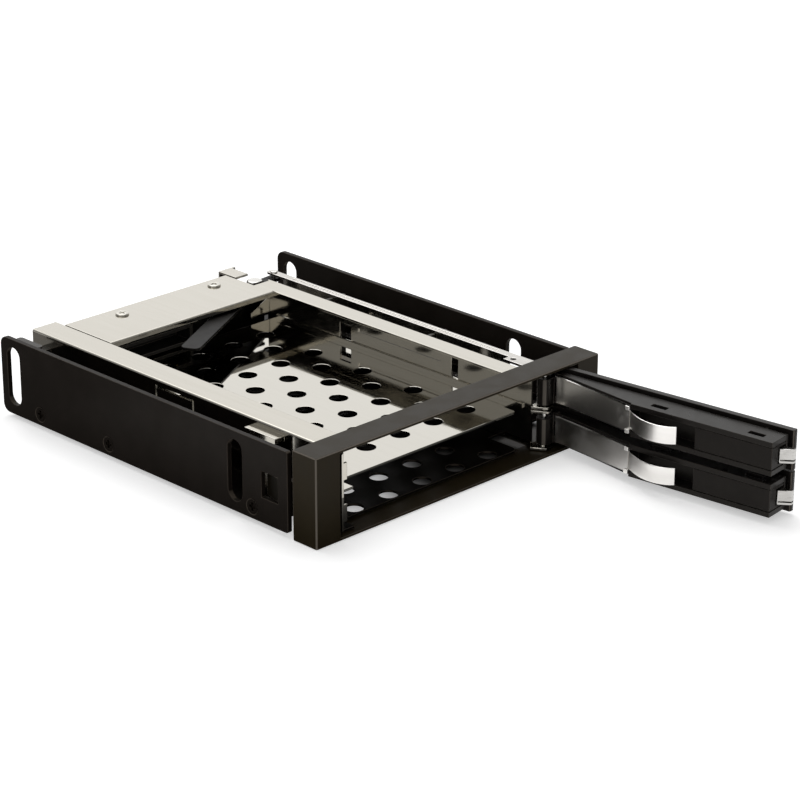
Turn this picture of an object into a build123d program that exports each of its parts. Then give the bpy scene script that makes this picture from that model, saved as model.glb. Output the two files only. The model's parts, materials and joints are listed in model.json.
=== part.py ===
from build123d import *
from math import atan2, cos, degrees, radians, sin, tan
import os

os.makedirs("parts", exist_ok=True)

# Overall envelope of the bay device, front face at Y 0, underside at Z 0
BAY_W = 101.6
HEIGHT = 24.0
REAR_Y = 123.7
HALF_W = BAY_W / 2

# Bezel ring
BEZEL_D = 8.6
POST_W = 8.0
BAR_T = 0.8
BEZEL_EDGE_R = 0.6
POST_WALL = 2.4
HOOK_T = 1.2
HOOK_H = 7.5
HOOK_GAP = 0.3
HOOK_RISE = 1.1
HOOK_TAIL = 1.2
HOOK_EASE = 0.6
HOLLOW_SKIN = 1.2
HOLLOW_RIM = 1.0
HOLLOW_GAP = 0.3
FRONT_CHAMFER = 0.25
OPEN_HALF = HALF_W - POST_W
OPEN_Z1 = HEIGHT - BAR_T

# Outer side plates
PLATE_T = 1.4
PLATE_Y0 = 10.2
PLATE_Z0 = 1.2
PLATE_Z1 = HEIGHT - PLATE_Z0
PLATE_IN = HALF_W - PLATE_T
PLATE_REAR_R = 2.4
PLATE_FRONT_R = 0.7
SLOT_W = 5.4
SLOT_Z0 = 4.0
SLOT_Z1 = HEIGHT - 3.5
SLOT_FRONT_Y = 29.4
SLOT_SPACING = 89.0
WINDOW_Y0 = 13.7
WINDOW_Y1 = 19.7
WINDOW_Z0 = 8.0
WINDOW_Z1 = 15.0
SCREW_Z = 4.3
SCREW_YS = (23.3, 79.2, 107.7)
SCREW_R = 1.25
SCREW_HEAD_R = 2.0
SCREW_LEN = 3.4
SCREW_GAP = 0.1
SINK_GAP = 0.15
SINK_SET = 0.05
SCREW_CROSS_L = 2.3
SCREW_CROSS_W = 0.8
SCREW_CROSS_H = 1.4

# Hinge axis, set in from the edge of the bezel's opening
HINGE_IN = 8.8
HINGE_X = OPEN_HALF - HINGE_IN
HINGE_Y = 3.9
HINGE_TO_WALL = 2.8

# Sheet steel of the inner cage
SHEET = 0.7
CAGE_DROP = 1.5
SIDE_SPACE = 8.0
BASE_Z0 = 1.0
BASE_TOP = BASE_Z0 + SHEET
BAY_H = (HEIGHT - CAGE_DROP - BASE_Z0 - 3 * SHEET) / 2
DIV_Z0 = BASE_TOP + BAY_H
DIV_TOP = DIV_Z0 + SHEET
FLANGE_Z0 = DIV_TOP + BAY_H
CAGE_TOP = FLANGE_Z0 + SHEET
CAGE_XL = SIDE_SPACE - PLATE_IN
CAGE_XR = HINGE_X - HINGE_TO_WALL
WALL_XL = CAGE_XL + SHEET
WALL_XR = CAGE_XR - SHEET
CAGE_MID = (CAGE_XL + CAGE_XR) / 2
BASE_FRONT = 6.6
BASE_REAR = 121.9
LIP_H = 5.8
LIP_GAP_FRONT = 0.3
LIP_GAP_REAR = 2.1
FLOOR_SIDE_Y0 = 17.5
FLOOR_FRONT_XR = WALL_XR - 3.2
FLOOR_FRONT_R = 2.0
LEFT_FRONT = 0.9
LEFT_REAR = BASE_REAR
RIGHT_FRONT = 5.2
LEFT_FLANGE_W = 8.0
RIGHT_FLANGE_W = 5.9
FLANGE_FRONT = 9.2
TAB_W = 4.9
BASE_TAB_Y = 1.7
DIV_TAB_Y = 2.0
DIV_FRONT = 7.5
DIV_REAR = 104.0
DIV_CUT_X = FLOOR_FRONT_XR
DIV_CUT_Y = 12.0
DIV_CUT_R = 1.0
WALL_EDGE_R = 0.65

# Lanced outline in the left wall, slots and pressed grooves in the right wall
LANCE_Y0 = 55.6
LANCE_Y1 = 70.7
LANCE_W = 0.6
LANCE_Z1 = FLANGE_Z0 - 1.0
LANCE_Z0 = LANCE_Z1 - 4.3
WALL_SLOTS = ((73.0, 77.3, 0.9, 5.5), (31.8, 34.2, 1.3, 6.9))
WALL_GROOVES = ((38.4, 70.0, 4.6, 5.6), (38.4, 100.0, 7.5, 8.1))
GROOVE_D = 0.3

# Round perforation shared by the floor and the divider
PERF_R = 2.5
PERF_DX = 12.0
PERF_DY = 9.7
FLOOR_ROW0 = 9.6
DIV_ROW0 = 17.6
FLOOR_ROWS_END = BASE_REAR - 8.0
DIV_ROWS_END = DIV_REAR - 3.5

# Cover at the rear, folded from the right shell
COVER_Y0 = 98.8
COVER_Y1 = COVER_Y0 + 19.6
COVER_XL = CAGE_XL + LEFT_FLANGE_W + 0.4
COVER_CUT_X = CAGE_XR - 6.4
COVER_CUT_Y = COVER_Y0 + 7.6
RIGHT_REAR = COVER_CUT_Y + SHEET
WALL_TAB_W = 7.0
WALL_TAB_LOW = 2.2
WALL_TAB_HIGH = 5.7
WALL_TAB_GAP = 0.3
SKIRT_H = 0.9
SKIRT_R = 0.5
COVER_SCREWS = ((CAGE_XL + 24.6, COVER_Y0 + 15.0), (CAGE_XR - 14.6, COVER_Y0 + 15.2))
COVER_SCREW_R = 1.0
COVER_HEAD_R = 1.9
COVER_HEAD_H = 0.6
COVER_SCREW_LEN = 1.7
COVER_HEAD_EDGE_R = 0.35
COVER_CROSS_L = 2.0
COVER_CROSS_W = 0.45
COVER_CROSS_H = 0.7

# Doors and their hinge
DOOR_SWING = 97.1
DOOR_PITCH = DIV_TOP - BASE_Z0
PIN_R = 0.7
PIN_PROUD = 0.1
PIN_SEAT = 0.05
HINGE_PIN_GAP = 0.06
KNUCKLE_R = 1.9
BLOCK_CRANK_OUT = 1.2
BLOCK_PANEL_OUT = 1.8
EAR_R = 2.3
EAR_Y1 = 6.2

# Door panel, levels given for the upper door
PANEL_Z0 = DIV_TOP + 0.1
PANEL_Z1 = OPEN_Z1 - 0.3
PANEL_T = 1.8
FACE_V = 6.0
PANEL_V = FACE_V - PANEL_T
PANEL_U0 = -1.0
PANEL_U1 = HINGE_X + OPEN_HALF - 4.5
PANEL_EDGE_R = 0.6

# Door body
BODY_Z0 = PANEL_Z0 + 0.9
BODY_Z1 = PANEL_Z1 - 0.9
WEDGE_Z0 = BODY_Z0 + 0.4
BODY_U1 = PANEL_U1 - 1.2
DOOR_T = 10.0
INNER_V = FACE_V - DOOR_T
GROOVE_V = PANEL_V - 0.8
GROOVE_H = 1.2
BLOCK_Z1 = BODY_Z1 - 1.2
EAR_LEVELS = (BASE_Z0, DIV_Z0, DIV_TOP + 0.4, BODY_Z1 + 0.3)
RECESS_U1 = BODY_U1 - 22.6
WEDGE_U0 = 4.8
WEDGE_V0 = 1.65
WEDGE_U1 = RECESS_U1 - 19.1
WEDGE_V1 = -3.45
SHELF_T = 1.4
RECESS_V = 0.5
WEB_V = 2.6
BODY_WINDOWS = (RECESS_U1 - 12.1, BODY_U1 - 6.2)
BODY_WINDOW_V = -1.2
BODY_WINDOW_L = 4.5
BODY_WINDOW_W = 1.7
BRIDGE_U0 = BODY_U1 - 6.7
BRIDGE_W = 0.8
WEB_END = 1.0

# Insert that fills the free end of the door body
INSERT_GAP = 0.15
INSERT_U0 = RECESS_U1 + 0.2
INSERT_V0 = INNER_V + 0.1
INSERT_V1 = WEB_V - 0.1
INSERT_BACK = 0.1

# Spring plate on the inner face of the door
STRIP_T = 0.4
CURL_U = 3.2
CURL_V = 2.3
CURL_R = 1.1
PLATE_PIN_R = 0.55
CURL_GAP = 0.1
POCKET_GAP = 0.3
POCKET_END = 0.1
POCKET_ROOT = 0.4
POCKET_D = 3.0
STRIP_Z0 = BODY_Z0 + 0.8
STRIP_Z1 = BODY_Z1 - 0.7
LEAF_Z0 = STRIP_Z0 + 1.35
LEAF_Z1 = STRIP_Z1 - 1.35
LEAF_STEPS = ((16.2, -5.4), (12.5, -6.9), (8.6, -7.2), (4.1, -5.3))
LEAF_POINTS = tuple((RECESS_U1 - back, v) for back, v in LEAF_STEPS)
LEAF_ROOT = 0.2
CURL_WINDOW_Z = 1.7
CURL_WINDOW_V = 1.0
CURL_BEND = 0.6
STRIP_TAB_H = 1.1
STRIP_TAB_L = 1.3
STRIP_TAB_OUT = 0.6

# Latch bolt, spring and release slider of a door
BOLT_V0 = -0.6
BOLT_V1 = 2.2
BOLT_Z0 = BODY_Z0 + 2.5
BOLT_Z1 = BODY_Z1 - 2.6
BOLT_U0 = BODY_U1 - 13.1
BOLT_OUT = 3.1
BOLT_TRAVEL = 1.4
BOLT_GAP = 0.3
BOLT_NOSE_W = 1.0
BOLT_NOSE_U = 0.2
BOLT_GROOVE_Z = 0.6
BOLT_GROOVE_H = 0.35
CHANNEL_U0 = RECESS_U1 + 1.9
SPRING_R = 1.2
SPRING_WIRE_R = 0.22
SPRING_TURNS = 5
SPRING_END_GAP = 0.2
SLIDER_U0 = BODY_U1 - 11.9
SLIDER_U1 = BODY_U1 - 4.1
SLIDER_Z0 = BOLT_Z0 - 0.1
SLIDER_Z1 = BOLT_Z1 + 0.2
SLIDER_OUT = 0.5
SLIDER_T = 1.1
SLIDER_GAP = 0.3
STEM_U0 = BODY_U1 - 9.5
STEM_U1 = BODY_U1 - 7.7
STEM_Z0 = BOLT_Z0 + 1.1
STEM_Z1 = BOLT_Z1 - 1.0
STEM_V = 1.5
SLIDER_RIBS = 4
RIB_PITCH = 1.4
RIB_W = 0.5
RIB_H = 0.25
RIB_END = 0.5

# Strike lips on the left wall
STRIKE_OUT = 1.1
STRIKE_T = 0.6
STRIKE_GAP_Z = 0.4

# Ejector lever
BULK_Y = COVER_Y0 + 9.7
PIVOT_X = WALL_XR - 0.9
PIVOT_Y = BULK_Y + 3.0
LEVER_SWING = 29.1
SHAFT_R = 0.9
SHAFT_TOP = FLANGE_Z0 - 1.0
SHAFT_HEAD_R = 2.25
SHAFT_HEAD_H = 0.8
SHAFT_HEAD_EDGE_R = 0.45
LEVER_GAP = 0.05
LEVER_T = 0.8
LEVER_Z0 = SHAFT_TOP - LEVER_T - 0.4
LEVER_W = 5.4
LEVER_L = 53.5
LEVER_TIP_R = 1.6
ARM_W = 3.6
ARM_OVER = 0.6
SPACER_R = 1.9
SPACER_GAP = 0.3

# Ejector bar
BAR_X = HINGE_X + 3.7
BAR_W = 2.4
BAR_TOP = FLANGE_Z0
BAR_H = 2.4
BAR_WALL = 0.7
BAR_FRONT = 19.0
BAR_REAR = PIVOT_Y + 2.9
BAR_GROOVE_W = 0.7
BAR_GROOVE_D = 0.25
BAR_HEAD_CLEAR = PIVOT_Y - 4.5
BAR_GROOVE_Y0 = BAR_FRONT + 5.0
BAR_GROOVE_Y1 = BAR_HEAD_CLEAR - 3.0
BAR_TAIL_R = 1.0
RIVET_R = 0.6
RIVET_HEAD_R = 1.1
RIVET_HEAD_H = 0.4
RIVET_GAP = 0.08
RIVET_DROP = 0.3
RIVET_TAIL_H = 0.3
RIVET_X = BAR_X - PIVOT_X
RIVET_Y = 0.8
YOKE_T = 0.7
YOKE_X0 = HINGE_X + 0.3
YOKE_X1 = HINGE_X + 3.6
YOKE_PIN_GAP = 0.3
YOKE_MARGIN = 1.3
CRANK_R = 0.5
CRANK_GAP = 0.1
TAB_HOLE_R = 0.8
TAB_HOLE_IN = 1.7
TAB_HOLE_Y = BAR_FRONT - 2.1

# The bar's stroke follows from the lever's swing, the crank from the stroke
RIVET_A0 = degrees(atan2(RIVET_Y, RIVET_X))
RIVET_A1 = RIVET_A0 - LEVER_SWING
STROKE = RIVET_Y - RIVET_X * tan(radians(RIVET_A1))
CRANK_THROW = STROKE / (2 * sin(radians(DOOR_SWING / 2)))
CRANK_X = CRANK_THROW * cos(radians(DOOR_SWING / 2))
CRANK_Y = CRANK_THROW * sin(radians(DOOR_SWING / 2))
CRANK_BOSS = 0.9
CRANK_HOLE_D = 3.0
CRANK_PIN_D = 2.8
CRANK_PROUD = 0.15

# The yoke's wide part stays behind the hinge pin over the whole stroke
YOKE_PIN_X = HINGE_X + PIN_R + YOKE_PIN_GAP
YOKE_WIDE_Y = HINGE_Y + PIN_R + YOKE_PIN_GAP + STROKE

# Guides for the two bars beside the right wall
GUIDE_YS = (46.0, 86.0)
GUIDE_T = 1.0
GUIDE_X1 = BAR_X + 3.3
GUIDE_Z1 = BAR_TOP - 0.8
GUIDE_GAP = 0.3

# Bulkhead and backplane
BULK_TOP_TAB = 7.4
BULK_TAB_IN = 1.0
BULK_SLOT_X0 = CAGE_XL + 14.2
BULK_SLOT_GAP = 0.5
STANDOFF_L = 5.6
BOARD_Y = BULK_Y + SHEET + STANDOFF_L
BOARD_T = 1.6
BOARD_X0 = CAGE_XL + 2.0
BOARD_X1 = WALL_XR - 8.5
BOARD_Z0 = 2.6
BOARD_Z1 = FLANGE_Z0 - 1.2
BOARD_CORNER_R = 1.0
SOCKET_X0 = CAGE_XL + 3.4
SOCKET_W = 37.8
SOCKET_H = 5.4
SOCKET_RISE = 0.6
SOCKET_D = 10.9
SOCKET_FRONT = BOARD_Y - SOCKET_D
SOCKET_DATA_W = 11.5
SOCKET_GAP = 0.4
SOCKET_POCKET = 6.0
SOCKET_WALL = 0.9
TONGUE_T = 1.2
STANDOFFS = (
    (BOARD_X0 + 3.4, BOARD_Z0 + 7.6),
    (BOARD_X1 - 4.0, BOARD_Z1 - 3.1),
    (BOARD_X1 - 4.0, BOARD_Z0 + 2.4),
)
STANDOFF_R = 1.9
BOARD_SCREW_R = 1.0
BOARD_HEAD_R = 1.8
BOARD_HEAD_H = 1.1
BOARD_SCREW_LEN = 3.0
PORT_Y1 = BOARD_Y + 8.4
PORT_W = 14.0
PORT_H = 5.6
PORT_Z0 = BOARD_Z1 - 6.0
PORT_X0S = (BOARD_X0 + 17.4, BOARD_X0 + 36.4)
PORT_WALL = 1.0
PORT_FLOOR = 1.6
PORT_LIP = 0.8
PORT_KEY = 1.2
INLET_KEY = 1.6
INLET_X0 = BOARD_X0 + 17.4
INLET_W = 23.0
INLET_H = 6.2
INLET_Z0 = BOARD_Z0 + 2.0
CONTACT_W = 0.6
CONTACT_T = 0.2
CONTACT_PITCH = 1.27
CONTACT_ROWS = ((1.9, 7), (14.3, 15))
CONTACT_SET = 0.6

# Parts on the rear face of the board
CAPACITORS = ((BOARD_X1 - 14.5, BOARD_Z0 + 4.0), (BOARD_X0 + 7.9, BOARD_Z1 - 3.6))
CAPACITOR_R = 2.0
CAPACITOR_L = 5.0
CHIPS = (
    (BOARD_X0 + 2.9, 7.5, BOARD_Z0 + 0.8, 4.2, 1.2),
    (BOARD_X1 - 8.5, 4.0, BOARD_Z0 + 7.2, 3.6, 1.0),
)
RESISTOR_COUNT = 4
RESISTOR_X0 = BOARD_X0 + 19.4
RESISTOR_PITCH = 3.4
RESISTOR_L = 1.6
RESISTOR_W = 0.8
RESISTOR_T = 0.6
RESISTOR_Z0 = (INLET_Z0 + INLET_H + PORT_Z0 - RESISTOR_W) / 2

# Rear right upright with its folded tab
REAR_POST_W = 5.4
REAR_POST_OUT = 0.5
REAR_POST_RISE = 0.2
REAR_TAB_Y0 = PIVOT_Y + 3.0

# Spacers between the left wall and the left side plate
FRONT_SPACER_W = 3.0
FRONT_SPACER_Y0 = 21.5
FRONT_SPACER_Y1 = 33.0
FRONT_SPACER_Z1 = FLANGE_Z0 - 0.8
FRONT_SPACER_ROOF = 1.4
FRONT_SPACER_R = 0.3
REAR_SPACER_X0 = 1.0 - PLATE_IN
REAR_SPACER_Y0 = 114.0
REAR_SPACER_Y1 = 117.5
REAR_SPACER_Z1 = FLANGE_Z0 - 2.8
REAR_STRIP_X0 = 1.8 - PLATE_IN
REAR_STRIP_X1 = 4.0 - PLATE_IN
REAR_STRIP_Y0 = 111.8
REAR_STRIP_Y1 = 121.6
REAR_STRIP_H = 2.4
REAR_STRIP_R = 1.0
LEVELS = (("upper", 0.0), ("lower", -DOOR_PITCH))
BAY_FLOORS = (("upper", DIV_TOP), ("lower", BASE_TOP))


def block(x0, x1, y0, y1, z0, z1, mode=Mode.ADD):
    """Box between opposite corners."""
    with Locations(((x0 + x1) / 2, (y0 + y1) / 2, (z0 + z1) / 2)):
        Box(x1 - x0, y1 - y0, z1 - z0, mode=mode)


def post(x, y, z0, z1, radius, mode=Mode.ADD):
    """Upright cylinder at a point in plan."""
    with Locations((x, y, (z0 + z1) / 2)):
        Cylinder(radius, z1 - z0, mode=mode)


def along_y(x, z, y0, y1, radius, mode=Mode.ADD):
    """Cylinder that runs from front to back."""
    with Locations(Plane(origin=(x, (y0 + y1) / 2, z), z_dir=(0, 1, 0))):
        Cylinder(radius, y1 - y0, mode=mode)


def perforation(row0, rows_end):
    """Hole centres of a staggered pattern about the cage's centre line."""
    points = []
    rows = int((rows_end - row0) / PERF_DY) + 1
    for row in range(rows):
        steps = (-2, -1, 0, 1, 2) if row % 2 == 0 else (-1.5, -0.5, 0.5, 1.5)
        for step in steps:
            points.append((CAGE_MID + step * PERF_DX, row0 + row * PERF_DY))
    return points


# Direction of the open door from its hinge, as the door stands in the open position
OPEN_A = radians(180 + DOOR_SWING)
DOOR_U = (cos(OPEN_A), sin(OPEN_A), 0)
DOOR_V = (-sin(OPEN_A), cos(OPEN_A), 0)


def door_plane(z):
    """Plane at a height, X from the hinge to the free end, Y to the outer face."""
    return Plane(origin=(HINGE_X, HINGE_Y, z), x_dir=DOOR_U, z_dir=(0, 0, 1))


def door_block(u0, u1, v0, v1, z0, z1, mode=Mode.ADD):
    """Box in door coordinates."""
    with BuildSketch(door_plane(z0)) as outline:
        with Locations(((u0 + u1) / 2, (v0 + v1) / 2)):
            Rectangle(u1 - u0, v1 - v0)
    extrude(outline.sketch, amount=z1 - z0, mode=mode)


def door_post(u, v, z0, z1, radius, mode=Mode.ADD):
    """Upright cylinder in door coordinates."""
    with BuildSketch(door_plane(z0)) as outline:
        with Locations((u, v)):
            Circle(radius)
    extrude(outline.sketch, amount=z1 - z0, mode=mode)


def door_shape(points, z0, z1, mode=Mode.ADD):
    """Upright prism in door coordinates."""
    with BuildSketch(door_plane(z0)) as outline:
        with BuildLine():
            Polyline(*points, close=True)
        make_face()
    extrude(outline.sketch, amount=z1 - z0, mode=mode)


# Crank point in door coordinates, found from its place beside the hinge
CRANK_U = CRANK_X * DOOR_U[0] + CRANK_Y * DOOR_U[1]
CRANK_V = CRANK_X * DOOR_V[0] + CRANK_Y * DOOR_V[1]


# Bezel ring with hollow posts and two snap hooks
with BuildPart() as bezel:
    block(-HALF_W, HALF_W, 0, BEZEL_D, 0, HEIGHT)
    fillet(bezel.edges().filter_by(Axis.Z), BEZEL_EDGE_R)
    chamfer(bezel.faces().sort_by(Axis.Y)[0].edges(), FRONT_CHAMFER)
    block(-OPEN_HALF, OPEN_HALF, -1, BEZEL_D + 1, BAR_T, OPEN_Z1, Mode.SUBTRACT)
    for side in (-1, 1):
        inner = side * (OPEN_HALF + HOLLOW_SKIN)
        outer = side * (PLATE_IN - HOOK_GAP - HOOK_T - HOLLOW_GAP)
        rim_z0 = BAR_T + HOLLOW_RIM
        rim_z1 = OPEN_Z1 - HOLLOW_RIM
        block(min(inner, outer), max(inner, outer), POST_WALL, BEZEL_D, rim_z0, rim_z1, Mode.SUBTRACT)
        arm_out = side * (PLATE_IN - HOOK_GAP)
        arm_in = arm_out - side * HOOK_T
        mid_z = (WINDOW_Z0 + WINDOW_Z1) / 2
        low_z = mid_z - HOOK_H / 2 + HOOK_EASE
        top_z = mid_z + HOOK_H / 2 - HOOK_EASE
        arm_end = WINDOW_Y1 - HOOK_GAP
        block(min(arm_in, arm_out), max(arm_in, arm_out), BEZEL_D - 0.5, arm_end, low_z, top_z)
        with BuildSketch(Plane.XY.offset(low_z)):
            with BuildLine():
                Polyline(
                    (arm_out, WINDOW_Y0 + HOOK_GAP),
                    (arm_out + side * HOOK_RISE, WINDOW_Y0 + HOOK_GAP),
                    (arm_out + side * HOOK_RISE, WINDOW_Y0 + HOOK_GAP + HOOK_TAIL),
                    (arm_out, arm_end),
                    close=True,
                )
            make_face()
        extrude(amount=top_z - low_z)
bezel.part.label = "bezel"
export_step(bezel.part, "parts/bezel.step")


def side_plate(side):
    """Outer side plate with two upright slots, a snap window and sunk screw holes."""
    face = Plane(origin=(side * PLATE_IN, 0, 0), x_dir=(0, 1, 0), z_dir=(1, 0, 0))
    with BuildPart() as plate:
        with BuildSketch(face):
            with Locations(((PLATE_Y0 + REAR_Y) / 2, (PLATE_Z0 + PLATE_Z1) / 2)):
                Rectangle(REAR_Y - PLATE_Y0, PLATE_Z1 - PLATE_Z0)
            with Locations(
                (SLOT_FRONT_Y, (SLOT_Z0 + SLOT_Z1) / 2),
                (SLOT_FRONT_Y + SLOT_SPACING, (SLOT_Z0 + SLOT_Z1) / 2),
            ):
                SlotOverall(SLOT_Z1 - SLOT_Z0, SLOT_W, rotation=90, mode=Mode.SUBTRACT)
            with Locations(((WINDOW_Y0 + WINDOW_Y1) / 2, (WINDOW_Z0 + WINDOW_Z1) / 2)):
                Rectangle(WINDOW_Y1 - WINDOW_Y0, WINDOW_Z1 - WINDOW_Z0, mode=Mode.SUBTRACT)
        extrude(amount=side * PLATE_T)
        upright = plate.edges().filter_by(Axis.X)
        rear_edges = [e for e in upright if e.center().Y > REAR_Y - 0.1]
        front_edges = [e for e in upright if e.center().Y < PLATE_Y0 + 0.1]
        fillet(rear_edges, PLATE_REAR_R)
        fillet(front_edges, PLATE_FRONT_R)
        for y in SCREW_YS:
            with Locations(Plane(origin=(side * HALF_W, y, SCREW_Z), z_dir=(side, 0, 0))):
                CounterSinkHole(SCREW_R + SCREW_GAP, SCREW_HEAD_R + SINK_GAP, depth=PLATE_T + 1)
    return plate


left_side_plate = side_plate(-1)
left_side_plate.part.label = "left_side_plate"
export_step(left_side_plate.part, "parts/left_side_plate.step")

right_side_plate = side_plate(1)
right_side_plate.part.label = "right_side_plate"
export_step(right_side_plate.part, "parts/right_side_plate.step")


# Flat head screws through the side plates into the floor's lips
with BuildPart() as side_plate_screws:
    for side in (-1, 1):
        for y in SCREW_YS:
            sunk = Plane(origin=(side * (HALF_W - SINK_SET), y, SCREW_Z), z_dir=(-side, 0, 0))
            with Locations(sunk):
                Cone(
                    SCREW_HEAD_R,
                    SCREW_R,
                    SCREW_HEAD_R - SCREW_R,
                    align=(Align.CENTER, Align.CENTER, Align.MIN),
                )
                Cylinder(SCREW_R, SCREW_LEN, align=(Align.CENTER, Align.CENTER, Align.MIN))
                Box(SCREW_CROSS_L, SCREW_CROSS_W, SCREW_CROSS_H, mode=Mode.SUBTRACT)
                Box(SCREW_CROSS_W, SCREW_CROSS_L, SCREW_CROSS_H, mode=Mode.SUBTRACT)
side_plate_screws.part.label = "side_plate_screws"
export_step(side_plate_screws.part, "parts/side_plate_screws.step")


# Perforated floor with turned up lips at both sides
with BuildPart() as base_plate:
    block(CAGE_XL, FLOOR_FRONT_XR, BASE_FRONT, FLOOR_SIDE_Y0, BASE_Z0, BASE_TOP)
    corner = (FLOOR_FRONT_XR, BASE_FRONT, BASE_Z0)
    fillet(base_plate.edges().filter_by(Axis.Z).sort_by_distance(corner)[0], FLOOR_FRONT_R)
    block(CAGE_XL, CAGE_XL + TAB_W, BASE_TAB_Y, BASE_FRONT, BASE_Z0, BASE_TOP)
    block(-PLATE_IN, PLATE_IN, FLOOR_SIDE_Y0, BASE_REAR, BASE_Z0, BASE_TOP)
    for side in (-1, 1):
        x0 = side * PLATE_IN
        x1 = side * (PLATE_IN - SHEET)
        block(min(x0, x1), max(x0, x1), FLOOR_SIDE_Y0, BASE_REAR, BASE_TOP, BASE_TOP + LIP_H)
        for y in SCREW_YS:
            with Locations(Plane(origin=(side * PLATE_IN, y, SCREW_Z), z_dir=(side, 0, 0))):
                Hole(SCREW_R + SCREW_GAP, depth=SHEET + 0.5)
        # Lips left out behind the upright slots of the side plates
        for y in (SLOT_FRONT_Y, SLOT_FRONT_Y + SLOT_SPACING):
            y0 = y - SLOT_W / 2 - LIP_GAP_FRONT
            y1 = y + SLOT_W / 2 + LIP_GAP_REAR
            block(min(x0, x1) - 1, max(x0, x1) + 1, y0, y1, BASE_TOP, BASE_TOP + LIP_H + 1, Mode.SUBTRACT)
    with BuildSketch(Plane.XY.offset(BASE_Z0)):
        with Locations(*perforation(FLOOR_ROW0, FLOOR_ROWS_END)):
            Circle(PERF_R)
    extrude(amount=SHEET, mode=Mode.SUBTRACT)
base_plate.part.label = "base_plate"
export_step(base_plate.part, "parts/base_plate.step")


# Left wall and top flange, with the strike lips for both latch bolts
with BuildPart() as left_shell:
    block(CAGE_XL, WALL_XL, LEFT_FRONT, LEFT_REAR, BASE_TOP, CAGE_TOP)
    block(CAGE_XL, CAGE_XL + LEFT_FLANGE_W, FLANGE_FRONT, LEFT_REAR, FLANGE_Z0, CAGE_TOP)
    fillet(left_shell.edges().filter_by(Axis.Y).group_by(Axis.X)[0].sort_by(Axis.Z)[-1], WALL_EDGE_R)
    for name, shift in LEVELS:
        z0 = BOLT_Z0 + shift - STRIKE_GAP_Z
        z1 = BOLT_Z1 + shift + STRIKE_GAP_Z
        block(WALL_XL, WALL_XL + STRIKE_OUT, LEFT_FRONT, LEFT_FRONT + STRIKE_T, z0, z1)
    # Lanced outline near the top of the wall
    for y0 in (LANCE_Y0, LANCE_Y1 - LANCE_W):
        block(CAGE_XL - 1, WALL_XL + 1, y0, y0 + LANCE_W, LANCE_Z0, LANCE_Z1, Mode.SUBTRACT)
    block(CAGE_XL - 1, WALL_XL + 1, LANCE_Y0, LANCE_Y1, LANCE_Z1 - LANCE_W, LANCE_Z1, Mode.SUBTRACT)
left_shell.part.label = "left_shell"
export_step(left_shell.part, "parts/left_shell.step")


# Right wall, flange and rear cover folded from one sheet, with the four hinge ears
with BuildPart() as right_shell:
    block(WALL_XR, CAGE_XR, RIGHT_FRONT, BASE_FRONT, BASE_Z0, EAR_LEVELS[3] + SHEET)
    block(WALL_XR, CAGE_XR, BASE_FRONT, RIGHT_REAR, BASE_TOP, CAGE_TOP)
    block(CAGE_XR - RIGHT_FLANGE_W, CAGE_XR, FLANGE_FRONT, COVER_Y0 + 1, FLANGE_Z0, CAGE_TOP)
    block(COVER_XL, COVER_CUT_X, COVER_Y0, COVER_Y1, FLANGE_Z0, CAGE_TOP)
    block(COVER_CUT_X - 1, CAGE_XR, COVER_Y0, COVER_CUT_Y, FLANGE_Z0, CAGE_TOP)
    block(WALL_XR, CAGE_XR, COVER_CUT_Y - 1, RIGHT_REAR, FLANGE_Z0, CAGE_TOP)
    block(COVER_XL, WALL_XR, COVER_Y0, COVER_Y0 + SHEET, FLANGE_Z0 - SKIRT_H, FLANGE_Z0)
    across = right_shell.edges().filter_by(Axis.X)
    skirt = across.filter_by_position(Axis.Y, COVER_Y0 - 0.01, COVER_Y0 + 0.01)
    fillet(skirt.sort_by(Axis.Z)[-1], SKIRT_R)
    fillet(right_shell.edges().filter_by(Axis.Y).group_by(Axis.X)[-1].sort_by(Axis.Z)[-1], WALL_EDGE_R)
    for level in EAR_LEVELS:
        with BuildSketch(Plane.XY.offset(level)):
            with BuildLine():
                Polyline(
                    (WALL_XR, RIGHT_FRONT),
                    (HINGE_X - EAR_R / 2, HINGE_Y - EAR_R),
                    (HINGE_X, HINGE_Y - EAR_R),
                    (HINGE_X, EAR_Y1),
                    (WALL_XR, EAR_Y1),
                    close=True,
                )
            make_face()
            with Locations((HINGE_X, HINGE_Y)):
                Circle(EAR_R)
        extrude(amount=SHEET)
    post(HINGE_X, HINGE_Y, 0, HEIGHT, PIN_R + HINGE_PIN_GAP, Mode.SUBTRACT)
    for x, y in COVER_SCREWS:
        post(x, y, FLANGE_Z0 - 0.5, CAGE_TOP + 1, COVER_SCREW_R + SCREW_GAP, Mode.SUBTRACT)
    # Folded tabs at the wall's rear edge, one behind each bay
    for name, floor in BAY_FLOORS:
        upright = Plane(origin=(0, RIGHT_REAR, 0), x_dir=(1, 0, 0), z_dir=(0, -1, 0))
        with BuildSketch(upright):
            with BuildLine():
                Polyline(
                    (WALL_XR, floor + WALL_TAB_GAP),
                    (WALL_XR, floor + WALL_TAB_HIGH),
                    (WALL_XR - WALL_TAB_W, floor + WALL_TAB_LOW),
                    (WALL_XR - WALL_TAB_W, floor + WALL_TAB_GAP),
                    close=True,
                )
            make_face()
        extrude(amount=SHEET)
    # Upright slots and pressed grooves in the wall, with heights above the divider
    for y0, y1, low, high in WALL_SLOTS:
        block(WALL_XR - 1, CAGE_XR + 1, y0, y1, DIV_TOP + low, DIV_TOP + high, Mode.SUBTRACT)
    for y0, y1, low, high in WALL_GROOVES:
        block(WALL_XR - 1, WALL_XR + GROOVE_D, y0, y1, DIV_TOP + low, DIV_TOP + high, Mode.SUBTRACT)
right_shell.part.label = "right_shell"
export_step(right_shell.part, "parts/right_shell.step")


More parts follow.
